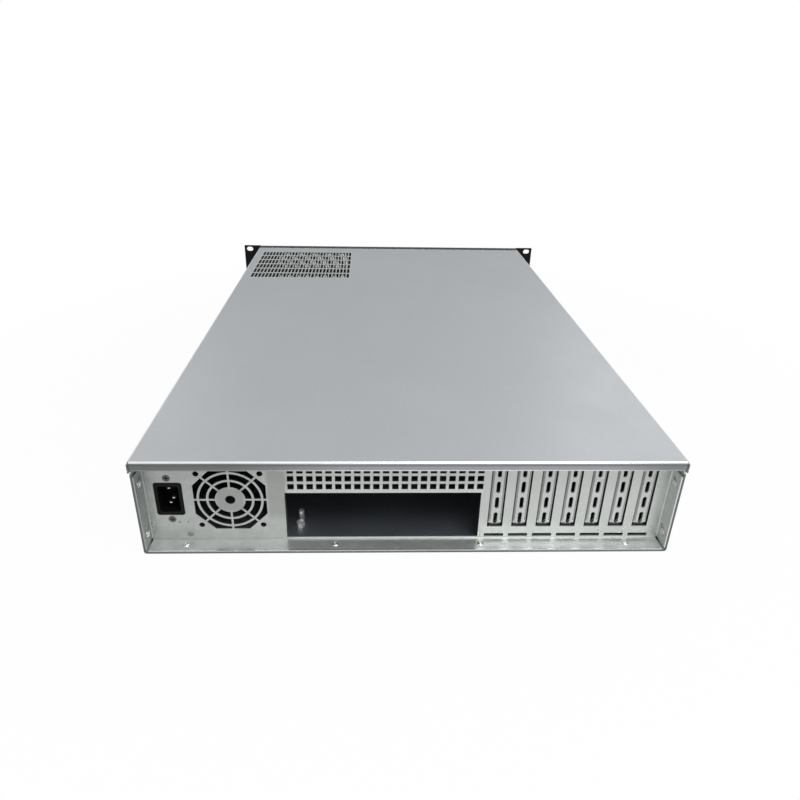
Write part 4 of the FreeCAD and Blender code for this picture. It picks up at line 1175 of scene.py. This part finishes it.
@dataclass
class Studio:
    """White ground, soft lamps and the camera at the photograph's place."""

    focal_px: float = 634.92
    centre_px: Pair = (389.54, 376.12)
    frame_px: float = 800.0
    sensor_mm: float = 36.0
    clip_start: float = 10.0 * MM
    camera: Triple = (32.99 * MM, 1054.55 * MM, 311.52 * MM)
    pitch: float = math.radians(25.732)
    yaw: float = math.radians(2.062)
    roll: float = math.radians(-1.123)
    floor_gap: float = 0.05 * MM
    floor_reach: float = 8.0
    floor_middle: Triple = (0.0, 0.33, 0.0)
    shadow_fade: Pair = (0.34, 0.70)
    ground_paint: Colour = (0.78, 0.78, 0.78)
    ground_glow: float = 0.97
    mirrored_glow: float = 0.30
    fill: float = 0.15

    def add_camera(self) -> None:
        """Place the camera.

        Its view is turned down by the pitch, aside by the yaw and rolled about its own axis, and
        its shift moves the lens centre to the pixel found for it.
        """
        cp, sp = math.cos(self.pitch), math.sin(self.pitch)
        cy, sy = math.cos(self.yaw), math.sin(self.yaw)
        forward = np.array([-sy * cp, -cy * cp, -sp])
        level = np.array([-cy, sy, 0.0])
        down = np.cross(forward, level)
        right = math.cos(self.roll) * level + math.sin(self.roll) * down
        up = math.sin(self.roll) * level - math.cos(self.roll) * down
        data = bpy.data.cameras.new("photo_camera")
        data.sensor_width = self.sensor_mm
        data.lens = self.focal_px * self.sensor_mm / self.frame_px
        data.shift_x = (self.frame_px / 2 - self.centre_px[0]) / self.frame_px
        data.shift_y = (self.centre_px[1] - self.frame_px / 2) / self.frame_px
        data.clip_start = self.clip_start
        camera = bpy.data.objects.new("photo_camera", data)
        turn = Matrix(np.stack([right, up, -forward], axis=1).tolist()).to_4x4()
        camera.matrix_world = Matrix.Translation(Vector(self.camera)) @ turn
        bpy.context.scene.collection.objects.link(camera)
        bpy.context.scene.camera = camera

    def seen_directly(self, tree: bpy.types.NodeTree) -> Socket:
        """Give 1 for camera, glossy and transmission rays, and 0 for the rest.

        Args:
            tree: The world's node tree.

        Returns:
            The socket that holds it.
        """
        path = tree.nodes.new("ShaderNodeLightPath")
        total = path.outputs["Is Camera Ray"]
        for name in ("Is Glossy Ray", "Is Transmission Ray"):
            made = tree.nodes.new("ShaderNodeMath")
            made.operation = "MAXIMUM"
            tree.links.new(total, made.inputs[0])
            tree.links.new(path.outputs[name], made.inputs[1])
            total = made.outputs[0]
        return total

    def add_world(self) -> None:
        """Make the world white where it is seen, and a dim fill for everything else."""
        world = bpy.data.worlds.new("studio_world")
        bpy.context.scene.world = world
        world.use_nodes = True
        tree = world.node_tree
        tree.nodes.clear()
        seen = self.seen_directly(tree)
        level = tree.nodes.new("ShaderNodeMapRange")
        level.inputs["To Min"].default_value = self.fill
        tree.links.new(seen, level.inputs["Value"])
        back = tree.nodes.new("ShaderNodeBackground")
        back.inputs["Color"].default_value = (1.0, 1.0, 1.0, 1.0)
        tree.links.new(level.outputs["Result"], back.inputs["Strength"])
        out = tree.nodes.new("ShaderNodeOutputWorld")
        tree.links.new(back.outputs[0], out.inputs["Surface"])

    def add_floor(self) -> None:
        """Lay the ground: a faint shadow by the case, turning to pure white further out."""
        g = Graph("white_ground")
        radius = g.vector("LENGTH", g.vector("SUBTRACT", g.place, self.floor_middle)[0])["Value"]
        far = g.remap(radius, self.shadow_fade, (self.ground_glow, 1.0))
        path = g.node("ShaderNodeLightPath").outputs
        glossy = g.maths("MULTIPLY", path["Is Glossy Ray"], self.mirrored_glow)
        direct = g.maths("MAXIMUM", path["Is Camera Ray"], path["Is Transmission Ray"])
        share = g.maths("MULTIPLY", g.maths("MAXIMUM", direct, glossy), far)
        paint = g.node("ShaderNodeBsdfDiffuse", {"Color": (*self.ground_paint, 1.0)})
        white = {"Color": (1.0, 1.0, 1.0, 1.0), "Strength": 1.0}
        glow = g.node("ShaderNodeEmission", white)
        both = g.node("ShaderNodeMixShader", {0: share, 1: paint.outputs[0], 2: glow.outputs[0]})
        g.tree.links.new(both.outputs[0], g.output.inputs["Surface"])
        corners = np.array([[-1.0, -1.0, 0.0], [1.0, -1.0, 0.0], [1.0, 1.0, 0.0],
                            [-1.0, 1.0, 0.0]]) * self.floor_reach
        corners[:, 2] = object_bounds()[0][2] - self.floor_gap
        ground = make_piece("studio_ground", [(corners, np.array([[0, 1, 2, 3]]))])
        ground.data.materials.append(g.material)
        ground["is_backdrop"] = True

    def build(self) -> None:
        """Set up the whole studio."""
        bpy.context.scene.view_settings.view_transform = "Standard"
        self.add_camera()
        self.add_world()
        self.add_floor()
        for lamp in LAMPS:
            lamp.hang()


def main() -> None:
    """Build the case's looks, sub-assembly by sub-assembly."""
    logging.basicConfig(level=logging.INFO, format="%(message)s")
    wardrobe = Wardrobe()
    Studio().build()
    Body().build(wardrobe)
    RearPanel().build(wardrobe)
    SlotCovers().build(wardrobe)
    Cover().build(wardrobe)
    Front().build(wardrobe)


if __name__ == "__main__":
    main()
